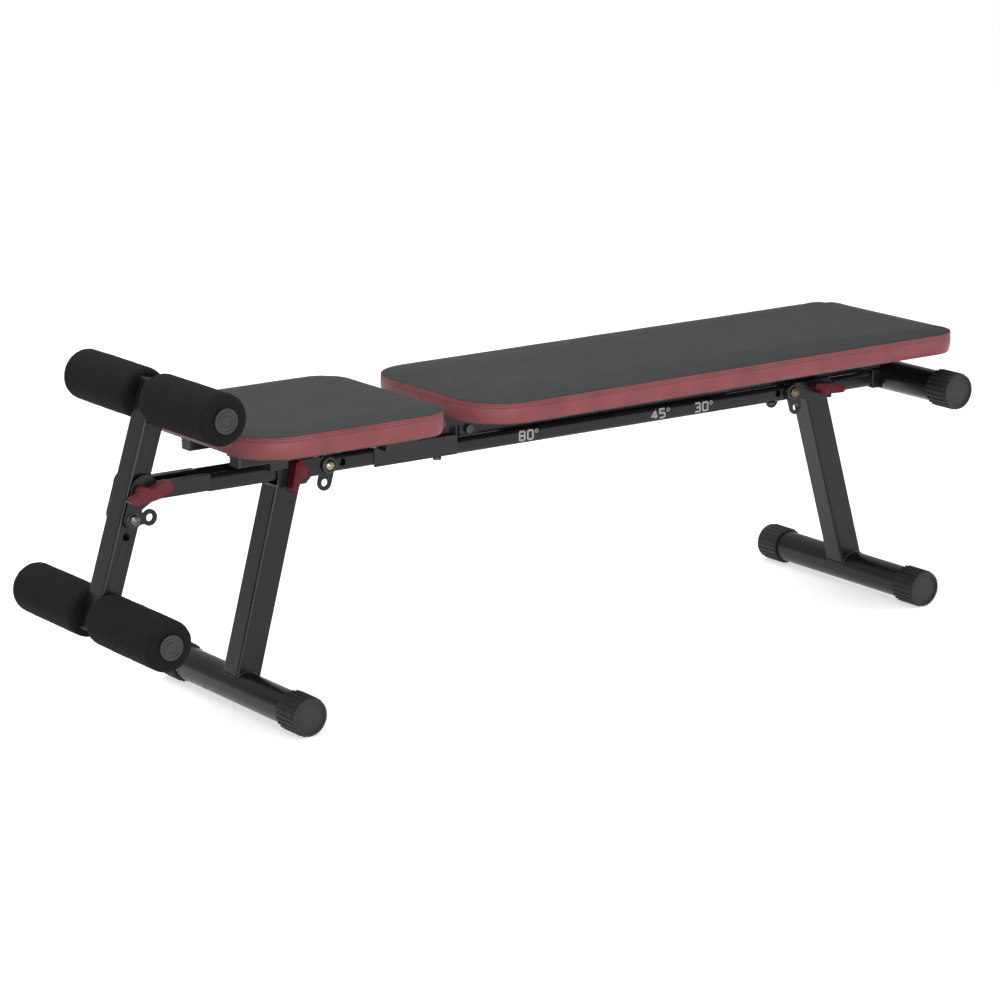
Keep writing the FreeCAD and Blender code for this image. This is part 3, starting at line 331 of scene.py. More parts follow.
FINISH = {
    "black_powder_coat": powder_coat(),
    "zinc_steel": zinc("zinc_steel", (0.30, 0.28, 0.24), (0.56, 0.53, 0.46)),
    "black_cap_rubber": rubber("black_cap_rubber", (0.0085, 0.0082, 0.009), (0.0145, 0.014, 0.015)),
    "black_plastic": rubber("black_plastic", (0.014, 0.0135, 0.0148), (0.022, 0.0212, 0.0228), 0.5),
    "roller_foam": foam(),
    "red_plastic": red_plastic(),
    "pad_cover": leather("pad_cover", (0.0185, 0.0208, 0.0213), (0.0255, 0.0278, 0.0283), 0.56, 780, 0.00022,
                         Specular_IOR_Level=0.28),
    "plywood": plywood(),
}
BAND = leather("pad_band", (0.235, 0.056, 0.061), (0.315, 0.080, 0.085), 0.44, 1150, 0.00016,
               Specular_IOR_Level=0.35)
LINING = woven("pad_lining", (0.012, 0.012, 0.013), (0.03, 0.03, 0.032))
# Stitch thread: its own dark red, made darker than the band so that it also carries the painted shade of the
# needle holes the stitches sit in.
THREAD_AND_HOLE_SHADE = woven("band_thread_and_hole_shade", (0.045, 0.009, 0.012), (0.10, 0.022, 0.027))
CAP_FACE = rubber("cap_face_grey", (0.0060, 0.0056, 0.0065), (0.0098, 0.0092, 0.0104), 0.5)
HUB_GREY = rubber("hub_grey", (0.0145, 0.014, 0.0152), (0.023, 0.0222, 0.0238), 0.46)
BLACK_STEEL = zinc("black_steel", (0.035, 0.034, 0.036), (0.10, 0.098, 0.102), 0.34)
YELLOW_ZINC = zinc("yellow_zinc", (0.20, 0.18, 0.115), (0.44, 0.40, 0.28), 0.28)
BROWN_STEEL = zinc("brown_steel", (0.085, 0.06, 0.047), (0.21, 0.155, 0.125), 0.34)
DARK_STEEL = zinc("dark_steel", (0.05, 0.05, 0.053), (0.17, 0.168, 0.172), 0.24)
INK = printed_ink()


# ---------------------------------------------------------------------------------------------
# CAD nodes that stay: finish and softened edges
# ---------------------------------------------------------------------------------------------

EDGE_WIDTH = {"red_plastic": 1.8 * MM, "black_plastic": 0.4 * MM, "black_cap_rubber": 0.35 * MM,
              "zinc_steel": 0.4 * MM}
USUAL_EDGE = 0.5 * MM
RIBBED_CAPS = {"end_tube_caps": "frame", "mid_foot_caps": "mid_leg", "rear_foot_caps": "rear_leg"}
BLACK_HARDWARE = ("hinge_pin", "spine_bolt", "spine_bolt_nut", "frame_rivets", "seat_screws", "back_screws",
                  "pivot_washers")


def dress(node):
    """Gives a CAD node its finish, and takes the knife edge off it with modifiers."""
    piece = frame["nodes"][node]
    slot = SLOT_OF[node]
    piece.data.materials.clear()
    piece.data.materials.append(FINISH[slot])
    weld = piece.modifiers.new("Join", "WELD")
    weld.merge_threshold = 0.01 * MM
    soften = piece.modifiers.new("Soften", "BEVEL")
    soften.width = EDGE_WIDTH.get(slot, USUAL_EDGE)
    soften.segments = 3 if slot == "red_plastic" else 2
    soften.limit_method = "ANGLE"
    soften.angle_limit = math.radians(38)
    normals = piece.modifiers.new("Shade", "WEIGHTED_NORMAL")
    normals.keep_sharp = False


def grey_cap_faces(node):
    """Gives the flat outer faces of a pair of caps their greyer finish."""
    caps = frame["nodes"][node]
    caps.data.materials.append(CAP_FACE)
    face_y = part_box(node)[1].y - 3 * MM
    for face in caps.data.polygons:
        if abs(face.normal.y) > 0.9 and abs(face.center.y) > face_y:
            face.material_index = 1


for node in frame["nodes"]:
    dress(node)
for node in RIBBED_CAPS:
    grey_cap_faces(node)
frame["nodes"]["roller_hub_caps"].data.materials[0] = HUB_GREY
for node in BLACK_HARDWARE:
    frame["nodes"][node].data.materials[0] = BLACK_STEEL


# ---------------------------------------------------------------------------------------------
# Cushions
# ---------------------------------------------------------------------------------------------


BOARD_ROOM = 12.3 * MM
TOP, BAND_SIDE, UNDER = 0, 1, 2
GRID_STEP = 8 * MM
CORNER_STEPS = 12
CROWN = 2.2 * MM
SIDE_SWELL = 0.9 * MM
CLOTH_STEPS = 20
STITCH_PITCH = 6 * MM
STITCH_HALF = 1.9 * MM
THREAD_RADIUS = 0.6 * MM


class PadShape:
    """Rings that follow a rounded rectangle, and the grid that fills the middle of it."""

    def __init__(self, x0, x1, half, front_radius, rear_radius):
        self.corners = [
            (Vector((x1 - rear_radius, half - rear_radius, 0)), rear_radius, 0),
            (Vector((x0 + front_radius, half - front_radius, 0)), front_radius, 90),
            (Vector((x0 + front_radius, front_radius - half, 0)), front_radius, 180),
            (Vector((x1 - rear_radius, rear_radius - half, 0)), rear_radius, 270),
        ]
        self.along = int((x1 - x0) / GRID_STEP)
        self.across = int(2 * half / GRID_STEP)

    def ring(self, offset=0.0, share=0.0):
        """The outline moved out by offset, then drawn towards its corner centres by share."""
        spots = []
        for index, (centre, radius, start) in enumerate(self.corners):
            reach = (radius + offset) * (1 - share)
            for k in range(CORNER_STEPS + 1):
                angle = math.radians(start + 90 * k / CORNER_STEPS)
                spots.append(centre + reach * Vector((math.cos(angle), math.sin(angle), 0)))
            after, next_radius, next_start = self.corners[(index + 1) % 4]
            next_reach = (next_radius + offset) * (1 - share)
            angle = math.radians(next_start)
            goal = after + next_reach * Vector((math.cos(angle), math.sin(angle), 0))
            count = self.along if index in (0, 2) else self.across
            last = spots[-1]
            spots.extend(last.lerp(goal, k / count) for k in range(1, count))
        return spots

    def grid(self):
        """The middle grid's points in rows from the -Y side, the one each ring point meets, and its faces."""
        rear_left, front_left, front_right, rear_right = [corner[0] for corner in self.corners]
        spots = []
        for row in range(self.across + 1):
            v = row / self.across
            for column in range(self.along + 1):
                u = column / self.along
                spots.append(front_right.lerp(rear_right, u).lerp(front_left.lerp(rear_left, u), v))
        width = self.along + 1

        def at(column, row):
            return row * width + column

        at_corner = CORNER_STEPS + 1
        meets = [at(self.along, self.across)] * at_corner
        meets += [at(self.along - k, self.across) for k in range(1, self.along)]
        meets += [at(0, self.across)] * at_corner
        meets += [at(0, self.across - k) for k in range(1, self.across)]
        meets += [at(0, 0)] * at_corner
        meets += [at(k, 0) for k in range(1, self.along)]
        meets += [at(self.along, 0)] * at_corner
        meets += [at(self.along, k) for k in range(1, self.across)]
        faces = []
        for row in range(self.across):
            for column in range(self.along):
                faces.append((at(column, row), at(column + 1, row),
                              at(column + 1, row + 1), at(column, row + 1)))
        return spots, meets, faces


def cushion_mesh(shape, bottom, seam, top, board_inset):
    """The sewn cover: vertices, faces, face materials, held vertices and the two stitch rings."""
    band = seam - bottom
    rows = []
    stitch_rows = []

    def row(height, material, held=False, offset=0.0, share=0.0):
        rows.append((shape.ring(offset, share), height, material, held))

    # The top rolls down to the seam over the last 24 mm, in millimetre insets from the outline.
    corner = min(radius for _, radius, _ in shape.corners)
    lip = 0.9 * MM
    for inset in (40, 30, 22, 16, 11.5, 8, 5.2, 3, 1.4, 0.4):
        lift = 1 - (1 - min(1.0, inset / 24)) ** 2.6
        row(seam + lip + (top - seam - lip) * lift, TOP, share=inset * MM / corner)
    # The seam between the top and the band is a narrow crease.
    row(seam + 0.5 * MM, TOP, True, offset=0.1 * MM)
    row(seam, BAND_SIDE, True, offset=-1.3 * MM)
    row(seam - 0.5 * MM, BAND_SIDE, True, offset=-0.1 * MM)
    # Two sewn grooves, whose bottoms carry the stitches.
    for drop, offset in ((1.7, 0.35), (2.7, -0.6), (3.7, 0.3), (5.6, 0.3), (6.6, -0.55), (7.6, 0.35)):
        if offset < 0:
            stitch_rows.append(len(rows))
        row(seam - drop * MM, BAND_SIDE, offset=offset * MM)
    # The band bulges, draws in to its lower edge, and turns under to the recess for the board.
    for share, offset in ((0.36, 0.5), (0.5, 0.45), (0.64, 0.1), (0.78, -0.6), (0.88, -1.3)):
        row(seam - band * share, BAND_SIDE, offset=offset * MM)
    row(bottom - 0.4 * MM, BAND_SIDE, True, offset=-2.4 * MM)
    row(bottom - 1.5 * MM, UNDER, True, offset=-3.8 * MM)
    row(bottom - 1.8 * MM, UNDER, True, offset=-5.6 * MM)
    row(bottom, UNDER, True, offset=-(board_inset - 7 * MM))
    row(bottom, UNDER, True, offset=-(board_inset - 2.5 * MM))
    row(bottom + 0.2 * MM, UNDER, True, offset=-(board_inset - 0.3 * MM))
    row(bottom + BOARD_ROOM, UNDER, True, offset=-(board_inset - 0.3 * MM))

    verts, faces, materials, held = [], [], [], []
    count = len(rows[0][0])
    for spots, height, _, fixed in rows:
        verts.extend((p.x, p.y, height) for p in spots)
        held.extend([fixed] * count)
    for index in range(len(rows) - 1):
        low, high = (index + 1) * count, index * count
        material = TOP if rows[index][2] == TOP else rows[index + 1][2]
        for i in range(count):
            j = (i + 1) % count
            faces.append((high + i, low + i, low + j, high + j))
            materials.append(material)
    grid, meets, grid_faces = shape.grid()
    for height, rim, flip, material, fixed in (
        (top, 0, False, TOP, False),
        (bottom + BOARD_ROOM, len(rows) - 1, True, UNDER, True),
    ):
        start = len(verts)
        verts.extend((p.x, p.y, height) for p in grid)
        held.extend([fixed] * len(grid))
        for face in grid_faces:
            quad = tuple(start + i for i in face)
            faces.append(tuple(reversed(quad)) if flip else quad)
            materials.append(material)
        for i in range(count):
            j = (i + 1) % count
            loop = [rim * count + i, rim * count + j, start + meets[j]]
            if meets[i] != meets[j]:
                loop.append(start + meets[i])
            faces.append(tuple(reversed(loop)) if flip else tuple(loop))
            materials.append(material)
    rings = [list(range(r * count, (r + 1) * count)) for r in stitch_rows]
    return verts, faces, materials, held, rings


def inflate(piece, held, cap):
    """Blows a closed cover up with Blender's cloth, keeps the held vertices, and caps the travel."""
    group = piece.vertex_groups.new(name="held")
    group.add([i for i, fixed in enumerate(held) if fixed], 1.0, "REPLACE")
    rest = np.array([v.co for v in piece.data.vertices])
    cloth = piece.modifiers.new("Cloth", "CLOTH")
    settings = cloth.settings
    settings.quality = 4
    settings.mass = 0.35
    settings.tension_stiffness = settings.compression_stiffness = 14
    settings.shear_stiffness = 6
    settings.bending_stiffness = 1.2
    settings.use_pressure = True
    settings.uniform_pressure_force = 4.0
    settings.vertex_group_mass = "held"
    settings.effector_weights.gravity = 0.0
    cloth.collision_settings.use_collision = False
    cloth.point_cache.frame_start = 1
    cloth.point_cache.frame_end = CLOTH_STEPS
    for step in range(1, CLOTH_STEPS + 1):
        SCENE.frame_set(step)
    shaped = piece.evaluated_get(bpy.context.evaluated_depsgraph_get())
    moved = np.array([v.co for v in shaped.data.vertices]) - rest
    travel = np.linalg.norm(moved, axis=1)
    share = np.minimum(1.0, cap / np.maximum(travel, 1e-9))
    piece.modifiers.remove(cloth)
    piece.vertex_groups.clear()
    SCENE.frame_set(1)
    piece.data.vertices.foreach_set("co", (rest + moved * share[:, None]).astype(np.float32).ravel())
    piece.data.update()


def stitching(name, piece, rings):
    """Short thread stitches along rings of a cover's vertices, as one mesh."""
    verts, faces = [], []
    for ring in rings:
        for spot, along in walk([piece.data.vertices[i].co for i in ring], STITCH_PITCH):
            out = Vector((along.y, -along.x, 0)).normalized()
            up = out.cross(along).normalized()
            shell = []
            for share in (-1.0, -0.7, 0.0, 0.7, 1.0):
                girth = THREAD_RADIUS * math.sqrt(max(0.06, 1 - share * share))
                middle = spot + along * STITCH_HALF * share + out * 0.16 * MM
                for k in range(6):
                    angle = math.pi * k / 3
                    shell.append(middle + (out * math.cos(angle) + up * math.sin(angle)) * girth)
            add_part(verts, faces, shell, ring_faces(5, 6))
    return mesh_piece(name, verts, faces, THREAD_AND_HOLE_SHADE)


def build_cushion(name, node, board, body, radii, seam_drop, tilt, cap):
    """A padded cover over a board, in its CAD solid's space, its head end raised by half the tilt."""
    low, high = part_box(node)
    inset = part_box(board)[0].x - low.x
    half = (high.y - low.y) / 2
    shape = PadShape(low.x, high.x, half, *radii)
    verts, faces, materials, held, rings = cushion_mesh(
        shape, low.z, high.z - seam_drop, high.z - CROWN, inset)
    piece = mesh_piece(name, verts, faces, FINISH["pad_cover"], BAND, LINING, face_material=materials)
    inflate(piece, held, cap)
    middle = (low.x + high.x) / 2
    length = high.x - low.x
    recess_roof = low.z + BOARD_ROOM
    for vertex, fixed in zip(piece.data.vertices, held):
        place = vertex.co
        wave = noise.noise(Vector((place.x * 16, place.y * 16, place.z * 24)))
        if not fixed:
            place.z += 0.35 * MM * wave
            place.y += 0.3 * MM * wave * (1 if place.y > 0 else -1)
        over_board = abs(place.z - recess_roof) <= MM and abs(place.y) <= half - inset
        if not over_board:
            place.z += tilt * (place.x - middle) / length
        place.z = min(place.z, high.z + abs(tilt) / 2)
        place.y = max(-half - SIDE_SWELL, min(half + SIDE_SWELL, place.y))
    piece.data.update()
    thread = stitching(name + "_stitching", piece, rings)
    smooth = piece.modifiers.new("Smooth", "SUBSURF")
    smooth.levels = smooth.render_levels = 1
    for item in (piece, thread):
        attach(item, body)
    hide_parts(node)


build_cushion("seat_cushion", "seat_pad", "seat_board", "frame",
              radii=(66 * MM, 50 * MM), seam_drop=5.2 * MM, tilt=0.0, cap=5 * MM)
build_cushion("back_cushion", "back_pad", "back_board", "backrest",
              radii=(76 * MM, 46 * MM), seam_drop=7.6 * MM, tilt=4.6 * MM, cap=5 * MM)


# ---------------------------------------------------------------------------------------------
# Foam rollers
# ---------------------------------------------------------------------------------------------


def foam_sleeve(node):
    """A foam sleeve with soft ends, dished where the hub cap sits, its skin slightly uneven."""
    low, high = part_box(node)
    centre = ((low.x + high.x) / 2, (low.z + high.z) / 2)
    side = 1 if low.y + high.y > 0 else -1
    inner, outer = sorted((abs(low.y), abs(high.y)))
    radius = (high.z - low.z) / 2
    bore = 13 * MM
    lip = 9 * MM
    turns = [math.pi / 2 * k / 8 for k in range(9)]
    profile = [(bore, inner + 4 * MM), (bore + 1.5 * MM, inner + 1.5 * MM), (bore + 5 * MM, inner + 0.4 * MM)]
    for angle in turns:
        profile.append((radius - lip + lip * math.sin(angle), inner + lip - lip * math.cos(angle)))
    steps = 62
    for k in range(1, steps):
        along = inner + lip + (outer - inner - 2 * lip) * k / steps
        profile.append((radius + 0.25 * MM * math.sin(math.pi * k / steps), along))
    for angle in turns:
        profile.append((radius - lip + lip * math.cos(angle), outer - lip + lip * math.sin(angle)))
    profile += [(bore + 7 * MM, outer - 0.2 * MM), (bore + 4 * MM, outer - 1.2 * MM),
                (bore, outer - 2.2 * MM)]
    verts, faces = turned(profile, centre, 112, side)
    shaped = []
    for x, y, z in verts:
        out = Vector((x - centre[0], 0, z - centre[1]))
        reach = out.length
        spot = Vector((x, y, z))
        rough = 0.30 * noise.noise(spot * 420)
        rough += 0.34 * noise.noise(spot * 150)
        rough += 0.3 * noise.noise(spot * 45)
        shaped.append(spot + out.normalized() * rough * MM * min(1.0, reach / radius) ** 2)
    piece = mesh_piece(node + "_foam", shaped, faces, FINISH["roller_foam"])
    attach(piece, node)
    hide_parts(node)


for node in ("upper_left_roller", "upper_right_roller", "lower_left_roller", "lower_right_roller"):
    foam_sleeve(node)


# ---------------------------------------------------------------------------------------------
# Weld beads
# ---------------------------------------------------------------------------------------------


def rounded_section(half_u, half_v, radius):
    """Points round a rectangle with round corners, in its own plane."""
    steps = 6
    straight = 9
    spots = []
    for sx, sy, start in ((1, 1, 0), (-1, 1, 90), (-1, -1, 180), (1, -1, 270)):
        for k in range(steps + 1):
            angle = math.radians(start + 90 * k / steps)
            spots.append((sx * (half_u - radius) + radius * math.cos(angle),
                          sy * (half_v - radius) + radius * math.sin(angle)))
    filled = []
    for index, here in enumerate(spots):
        after = spots[(index + 1) % len(spots)]
        far = math.dist(here, after) > 3 * radius
        pieces = straight if far else 1
        for k in range(pieces):
            share = k / pieces
            filled.append((here[0] + (after[0] - here[0]) * share, here[1] + (after[1] - here[1]) * share))
    return filled


def leg_welds(leg, tube, body):
    """Beads where a leg meets its foot tube and where it meets the bracket's web."""
    foot_low, foot_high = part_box(tube)
    foot_x, foot_z = (foot_low.x + foot_high.x) / 2, (foot_low.z + foot_high.z) / 2
    foot_radius = (foot_high.z - foot_low.z) / 2
    corners = points_of(leg)
    top_z = corners[:, 2].max()
    crown = corners[corners[:, 2] > top_z - 2 * MM]
    top_x = (crown[:, 0].min() + crown[:, 0].max()) / 2
    lean = math.atan2(top_x - foot_x, top_z - foot_z)
    half_v = corners[:, 1].max()
    half_u = (crown[:, 0].max() - crown[:, 0].min()) / 2 * math.cos(lean)
    weld_line, web_line = [], []
    for u, v in rounded_section(half_u, half_v, 3.6 * MM):
        rise = math.sqrt(max(0.0, foot_radius ** 2 - u ** 2))
        weld_line.append((foot_x + u * math.cos(lean) + rise * math.sin(lean), v,
                          foot_z - u * math.sin(lean) + rise * math.cos(lean)))
        rise = (top_z - MM - foot_z + u * math.sin(lean)) / math.cos(lean)
        web_line.append((foot_x + u * math.cos(lean) + rise * math.sin(lean), v, top_z - MM))
    verts, faces = [], []
    add_part(verts, faces, *bead_shell(weld_line, 2.1 * MM, 1.3))
    add_part(verts, faces, *bead_shell(web_line, 1.3 * MM, 2.2))
    piece = mesh_piece(leg + "_welds", verts, faces, FINISH["black_powder_coat"])
    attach(piece, body)


leg_welds("mid_leg", "mid_foot_tube", "mid_leg")
leg_welds("rear_leg", "rear_foot_tube", "rear_leg")


def frame_welds():
    """Beads at the head end of the rails, and where the seat's cross members meet the beam."""
    verts, faces = [], []
    saddle_low, saddle_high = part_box("end_saddle")
    for sign in (-1, 1):
        line = [(saddle_low.x - 0.2 * MM, sign * (saddle_high.y - 2.6 * MM),
                 saddle_low.z + (saddle_high.z - saddle_low.z) * k / 12) for k in range(13)]
        add_part(verts, faces, *bead_shell(line, 1.5 * MM, sign, closed=False))
    tube_low, tube_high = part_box("end_tube")
    tube_x, tube_z = (tube_low.x + tube_high.x) / 2, (tube_low.z + tube_high.z) / 2
    radius = (tube_high.z - tube_low.z) / 2 + 0.3 * MM
    for level in (saddle_low.z, saddle_high.z):
        edge_x = tube_x - math.sqrt(max(0.0, radius ** 2 - (level - tube_z) ** 2))
        line = [(edge_x, saddle_high.y * (k / 12 - 1), level) for k in range(25)]
        add_part(verts, faces, *bead_shell(line, 1.6 * MM, level, closed=False))
    member_low, member_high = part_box("seat_cross_members")
    rail_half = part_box("front_rails")[1].y
    for x, under in ((member_low.x, "front_rails"), (member_high.x, "joiner_sleeve")):
        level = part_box(under)[1].z
        for sign in (-1, 1):
            line = [(x, sign * (rail_half - 12 * MM + MM * k), level + 0.3 * MM) for k in range(13)]
            add_part(verts, faces, *bead_shell(line, 1.2 * MM, x, closed=False))
    piece = mesh_piece("frame_welds", verts, faces, FINISH["black_powder_coat"])
    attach(piece, "frame")


frame_welds()


def cap_rims(node, body):
    """A raised rim and a shallow inner ring on the flat face of each ribbed cap."""
    low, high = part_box(node)
    centre = ((low.x + high.x) / 2, (low.z + high.z) / 2)
    radius = (high.z - low.z) / 2
    verts, faces = [], []
    for side in (-1, 1):
        for reach, thick, proud, face_y in (
            (radius - 3.6 * MM, 1.4 * MM, 0.7 * MM, high.y),
            (radius - 9.5 * MM, 0.7 * MM, 0.4 * MM, high.y - 1.2 * MM),
        ):
            rim = [(reach - thick, face_y - 1.2 * MM), (reach - thick, face_y + 0.5 * proud),
                   (reach - 0.6 * thick, face_y + proud), (reach + 0.6 * thick, face_y + proud),
                   (reach + thick, face_y + 0.5 * proud), (reach + thick, face_y - 1.2 * MM)]
            shell, shell_faces = turned(rim, centre, 64, side)
            add_part(verts, faces, shell, shell_faces[:-2])
    piece = mesh_piece(node + "_rims", verts, faces, FINISH["black_cap_rubber"])
    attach(piece, body)


for node, body in RIBBED_CAPS.items():
    cap_rims(node, body)


# ---------------------------------------------------------------------------------------------
# Pivot bolts and washers
# ---------------------------------------------------------------------------------------------


def hex_prism(centre, radius, start, end, chamfer, phase=0.0):
    """A chamfered hexagonal head on the right side, from |y| = start out to |y| = end."""
    profile = [(radius, start), (radius, end - chamfer), (radius - 0.6 * chamfer, end - 0.35 * chamfer),
               (radius - 1.3 * chamfer, end)]
    return turned(profile, centre, 6, -1, phase)


# Each pivot bolt: its joint, the node it clamps, its metal and its head.
PIVOTS = {
    "mid_pivot": ("mid_leg_fold", "mid_leg_bracket", YELLOW_ZINC, "dome"),
    "rear_pivot": ("rear_leg_fold", "rear_leg_bracket", BROWN_STEEL, "hex"),
    "post_pivot": ("post_fold", "front_yoke", DARK_STEEL, "hex"),
}
JOINT_AT = {joint["name"]: Vector(joint["pos_m"]) for joint in frame["joints"] if "pos_m" in joint}
WASHER_ROOM = 1.55 * MM


def pivot_hardware(name, joint, clamped, metal, kind):
    """One pivot bolt: a shank through the joint and a shaped head on the right side."""
    spot = JOINT_AT[joint]
    centre = (spot.x, spot.z)
    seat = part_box(clamped)[1].y + WASHER_ROOM
    verts, faces = [], []
    shank = [(4.6 * MM, -seat - 8 * MM), (5 * MM, -seat - 7 * MM), (5 * MM, seat), (5 * MM, seat + 0.5 * MM)]
    add_part(verts, faces, *turned(shank, centre, 24, -1))
    if kind == "dome":
        dome = [(8.4 * MM, seat), (8.6 * MM, seat + 0.9 * MM), (8.0 * MM, seat + 1.5 * MM)]
        dome += [(7.6 * MM * math.cos(a), seat + 1.7 * MM + 4.2 * MM * math.sin(a))
                 for a in (0.05, 0.3, 0.55, 0.8, 1.05, 1.3, 1.5)]
        add_part(verts, faces, *turned(dome, centre, 40, -1))
    else:
        add_part(verts, faces, *hex_prism(centre, 8.5 * MM, seat, seat + 6 * MM, 1.1 * MM, 0.25))
        boss = [(4.4 * MM, seat + 5.6 * MM), (4.4 * MM, seat + 6.3 * MM), (3.6 * MM, seat + 6.7 * MM)]
        add_part(verts, faces, *turned(boss, centre, 24, -1))
    piece = mesh_piece(name + "_bolt", verts, faces, metal)
    sharp = piece.modifiers.new("Soften", "BEVEL")
    sharp.width = 0.25 * MM
    sharp.segments = 2
    sharp.angle_limit = math.radians(40)
    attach(piece, "frame")
    return piece


bolts = [pivot_hardware(name, *details) for name, details in PIVOTS.items()]
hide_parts("pivot_bolts")


def knurled_collar(name, joint):
    """A black ridged ring on the washer, round a bolt head on the right side."""
    spot = JOINT_AT[joint]
    bore, rim, ridge = 8.9 * MM, 12.2 * MM, 0.45 * MM
    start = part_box("pivot_washers")[1].y + 0.05 * MM
    end = start + 3.1 * MM
    segments = 72
    profile = ((bore, start, False), (rim, start, True), (rim, end - 0.7 * MM, True),
               (rim - MM, end, False), (bore, end, False))
    verts = []
    for radius, along, ridged in profile:
        for k in range(segments):
            angle = 2 * math.pi * k / segments
            reach = radius + (ridge if ridged and k % 4 < 2 else 0.0)
            verts.append((spot.x + reach * math.cos(angle), -along, spot.z + reach * math.sin(angle)))
    faces = ring_faces(len(profile), segments, closed_ends=False)
    last = (len(profile) - 1) * segments
    for k in range(segments):
        n = (k + 1) % segments
        faces.append((last + k, last + n, n, k))
    piece = mesh_piece(name, verts, faces, FINISH["black_plastic"], smooth=False)
    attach(piece, "frame")


knurled_collar("mid_pivot_collar", "mid_leg_fold")
knurled_collar("rear_pivot_collar", "rear_leg_fold")


# ---------------------------------------------------------------------------------------------
# Angle numbers on the right rail
# ---------------------------------------------------------------------------------------------

# Each digit is drawn on a grid 2 wide and 4 high, as open or closed runs of strokes.
STROKES = {
    "0": [[(0.3, 0), (1.7, 0), (2, 0.4), (2, 3.6), (1.7, 4), (0.3, 4), (0, 3.6), (0, 0.4), (0.3, 0)]],
    "3": [[(0, 4), (1.6, 4), (2, 3.6), (2, 0.4), (1.6, 0), (0, 0)], [(0.5, 2), (1.7, 2)]],
    "4": [[(1.5, 0), (1.5, 4), (0, 1.1), (1.2, 1.1)], [(1.8, 1.1), (2.2, 1.1)]],
    "5": [[(2, 4), (0, 4), (0, 2.2), (1.6, 2.2), (2, 1.8), (2, 0.4), (1.6, 0), (0, 0)]],
    "8": [[(0.3, 0), (1.7, 0), (2, 0.4), (2, 3.6), (1.7, 4), (0.3, 4), (0, 3.6), (0, 0.4), (0.3, 0)],
          [(0.3, 2), (1.7, 2)]],
}
DIGIT_HIGH = 13.4 * MM
DIGIT_WIDE = 9.6 * MM
DIGIT_STEP = 15.2 * MM
PEN = 2.9 * MM
RING_PEN = 1.4 * MM
RING_RADIUS = 2.5 * MM
PRINT_LIFT = 0.12 * MM
STRIPS = 4

# How far each number's middle is from the front end of the rear rails.
ANGLE_MARKS = {"80": 205 * MM, "45": 457 * MM, "30": 542 * MM}

RAIL_LOW, RAIL_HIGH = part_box("rear_rails")
RAIL_MIDDLE = (RAIL_LOW.z + RAIL_HIGH.z) / 2
RAIL_RADIUS = (RAIL_HIGH.y - np.abs(points_of("rear_rails")[:, 1]).min()) / 2


def rail_side(z):
    """How far the outer side of a rear rail, a flat oval, stands from the middle plane at a height."""
    flat = (RAIL_HIGH.z - RAIL_LOW.z) / 2 - RAIL_RADIUS
    over = max(0.0, abs(z - RAIL_MIDDLE) - flat)
    return RAIL_HIGH.y - RAIL_RADIUS + math.sqrt(max(0.0, RAIL_RADIUS ** 2 - over ** 2))


def stroke_shell(run, width):
    """A ribbon with mitred corners along a run in the XZ plane, in strips that can follow a curved rail."""
    closed = run[0] == run[-1]
    spots = [Vector((x, z)) for x, z in (run[:-1] if closed else run)]
    count = len(spots)
    sides = []
    for i, here in enumerate(spots):
        before = spots[i - 1] if closed or i else None
        after = spots[(i + 1) % count] if closed or i < count - 1 else None
        first = (here - before).normalized() if before is not None else (after - here).normalized()
        second = (after - here).normalized() if after is not None else first
        normal = Vector((-first.y, first.x)) + Vector((-second.y, second.x))
        normal.normalize()
        lean = max(0.45, normal.dot(Vector((-first.y, first.x))))
        sides.append((here + normal * width / 2 / lean, here - normal * width / 2 / lean))
    verts, faces = [], []
    for left, right in sides:
        verts += [left.lerp(right, k / STRIPS) for k in range(STRIPS + 1)]
    for i in range(count if closed else count - 1):
        here, after = i * (STRIPS + 1), (i + 1) % count * (STRIPS + 1)
        faces += [(here + k, here + k + 1, after + k + 1, after + k) for k in range(STRIPS)]
    return verts, faces


def degree_ring(x, z):
    """Points round the small ring after a number."""
    turns = [2 * math.pi * k / 16 for k in range(16)]
    ring = [(x + RING_RADIUS * math.cos(a), z + RING_RADIUS * math.sin(a)) for a in turns]
    return ring + [ring[0]]


def angle_mark(text, centre_x):
    """A number and its degree ring, printed on the right side of the rail."""
    middle = RAIL_MIDDLE + 0.4 * MM
    verts, faces = [], []
    start = centre_x - DIGIT_STEP - 2 * MM
    for index, digit in enumerate(text):
        for run in STROKES[digit]:
            places = []
            for (x0, z0), (x1, z1) in zip(run, run[1:]):
                places += [(x0 + (x1 - x0) * k / 4, z0 + (z1 - z0) * k / 4) for k in range(4)]
            places.append(run[-1])
            scaled = [(start + index * DIGIT_STEP + x / 2 * DIGIT_WIDE, middle + (z / 4 - 0.5) * DIGIT_HIGH)
                      for x, z in places]
            add_part(verts, faces, *stroke_shell(scaled, PEN))
    ring = degree_ring(start + 2 * DIGIT_STEP + 1.2 * MM, middle + 4.6 * MM)
    add_part(verts, faces, *stroke_shell(ring, RING_PEN))
    placed = [(v.x, -(rail_side(v.y) + PRINT_LIFT), v.y) for v in verts]
    piece = mesh_piece("angle_mark_" + text, placed, faces, INK, smooth=False)
    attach(piece, "frame")


for text, distance in ANGLE_MARKS.items():
    angle_mark(text, RAIL_LOW.x + distance)


# ---------------------------------------------------------------------------------------------
# Studio: floor, light, camera
# ---------------------------------------------------------------------------------------------


def seen_directly(r):
    """One for rays from the camera and for mirror-like rays, zero for scattered light."""
    path = r.add("ShaderNodeLightPath")
    return r.add("ShaderNodeMath", {0: path.outputs["Is Camera Ray"], 1: path.outputs["Is Glossy Ray"]},
                 operation="MAXIMUM").outputs[0]


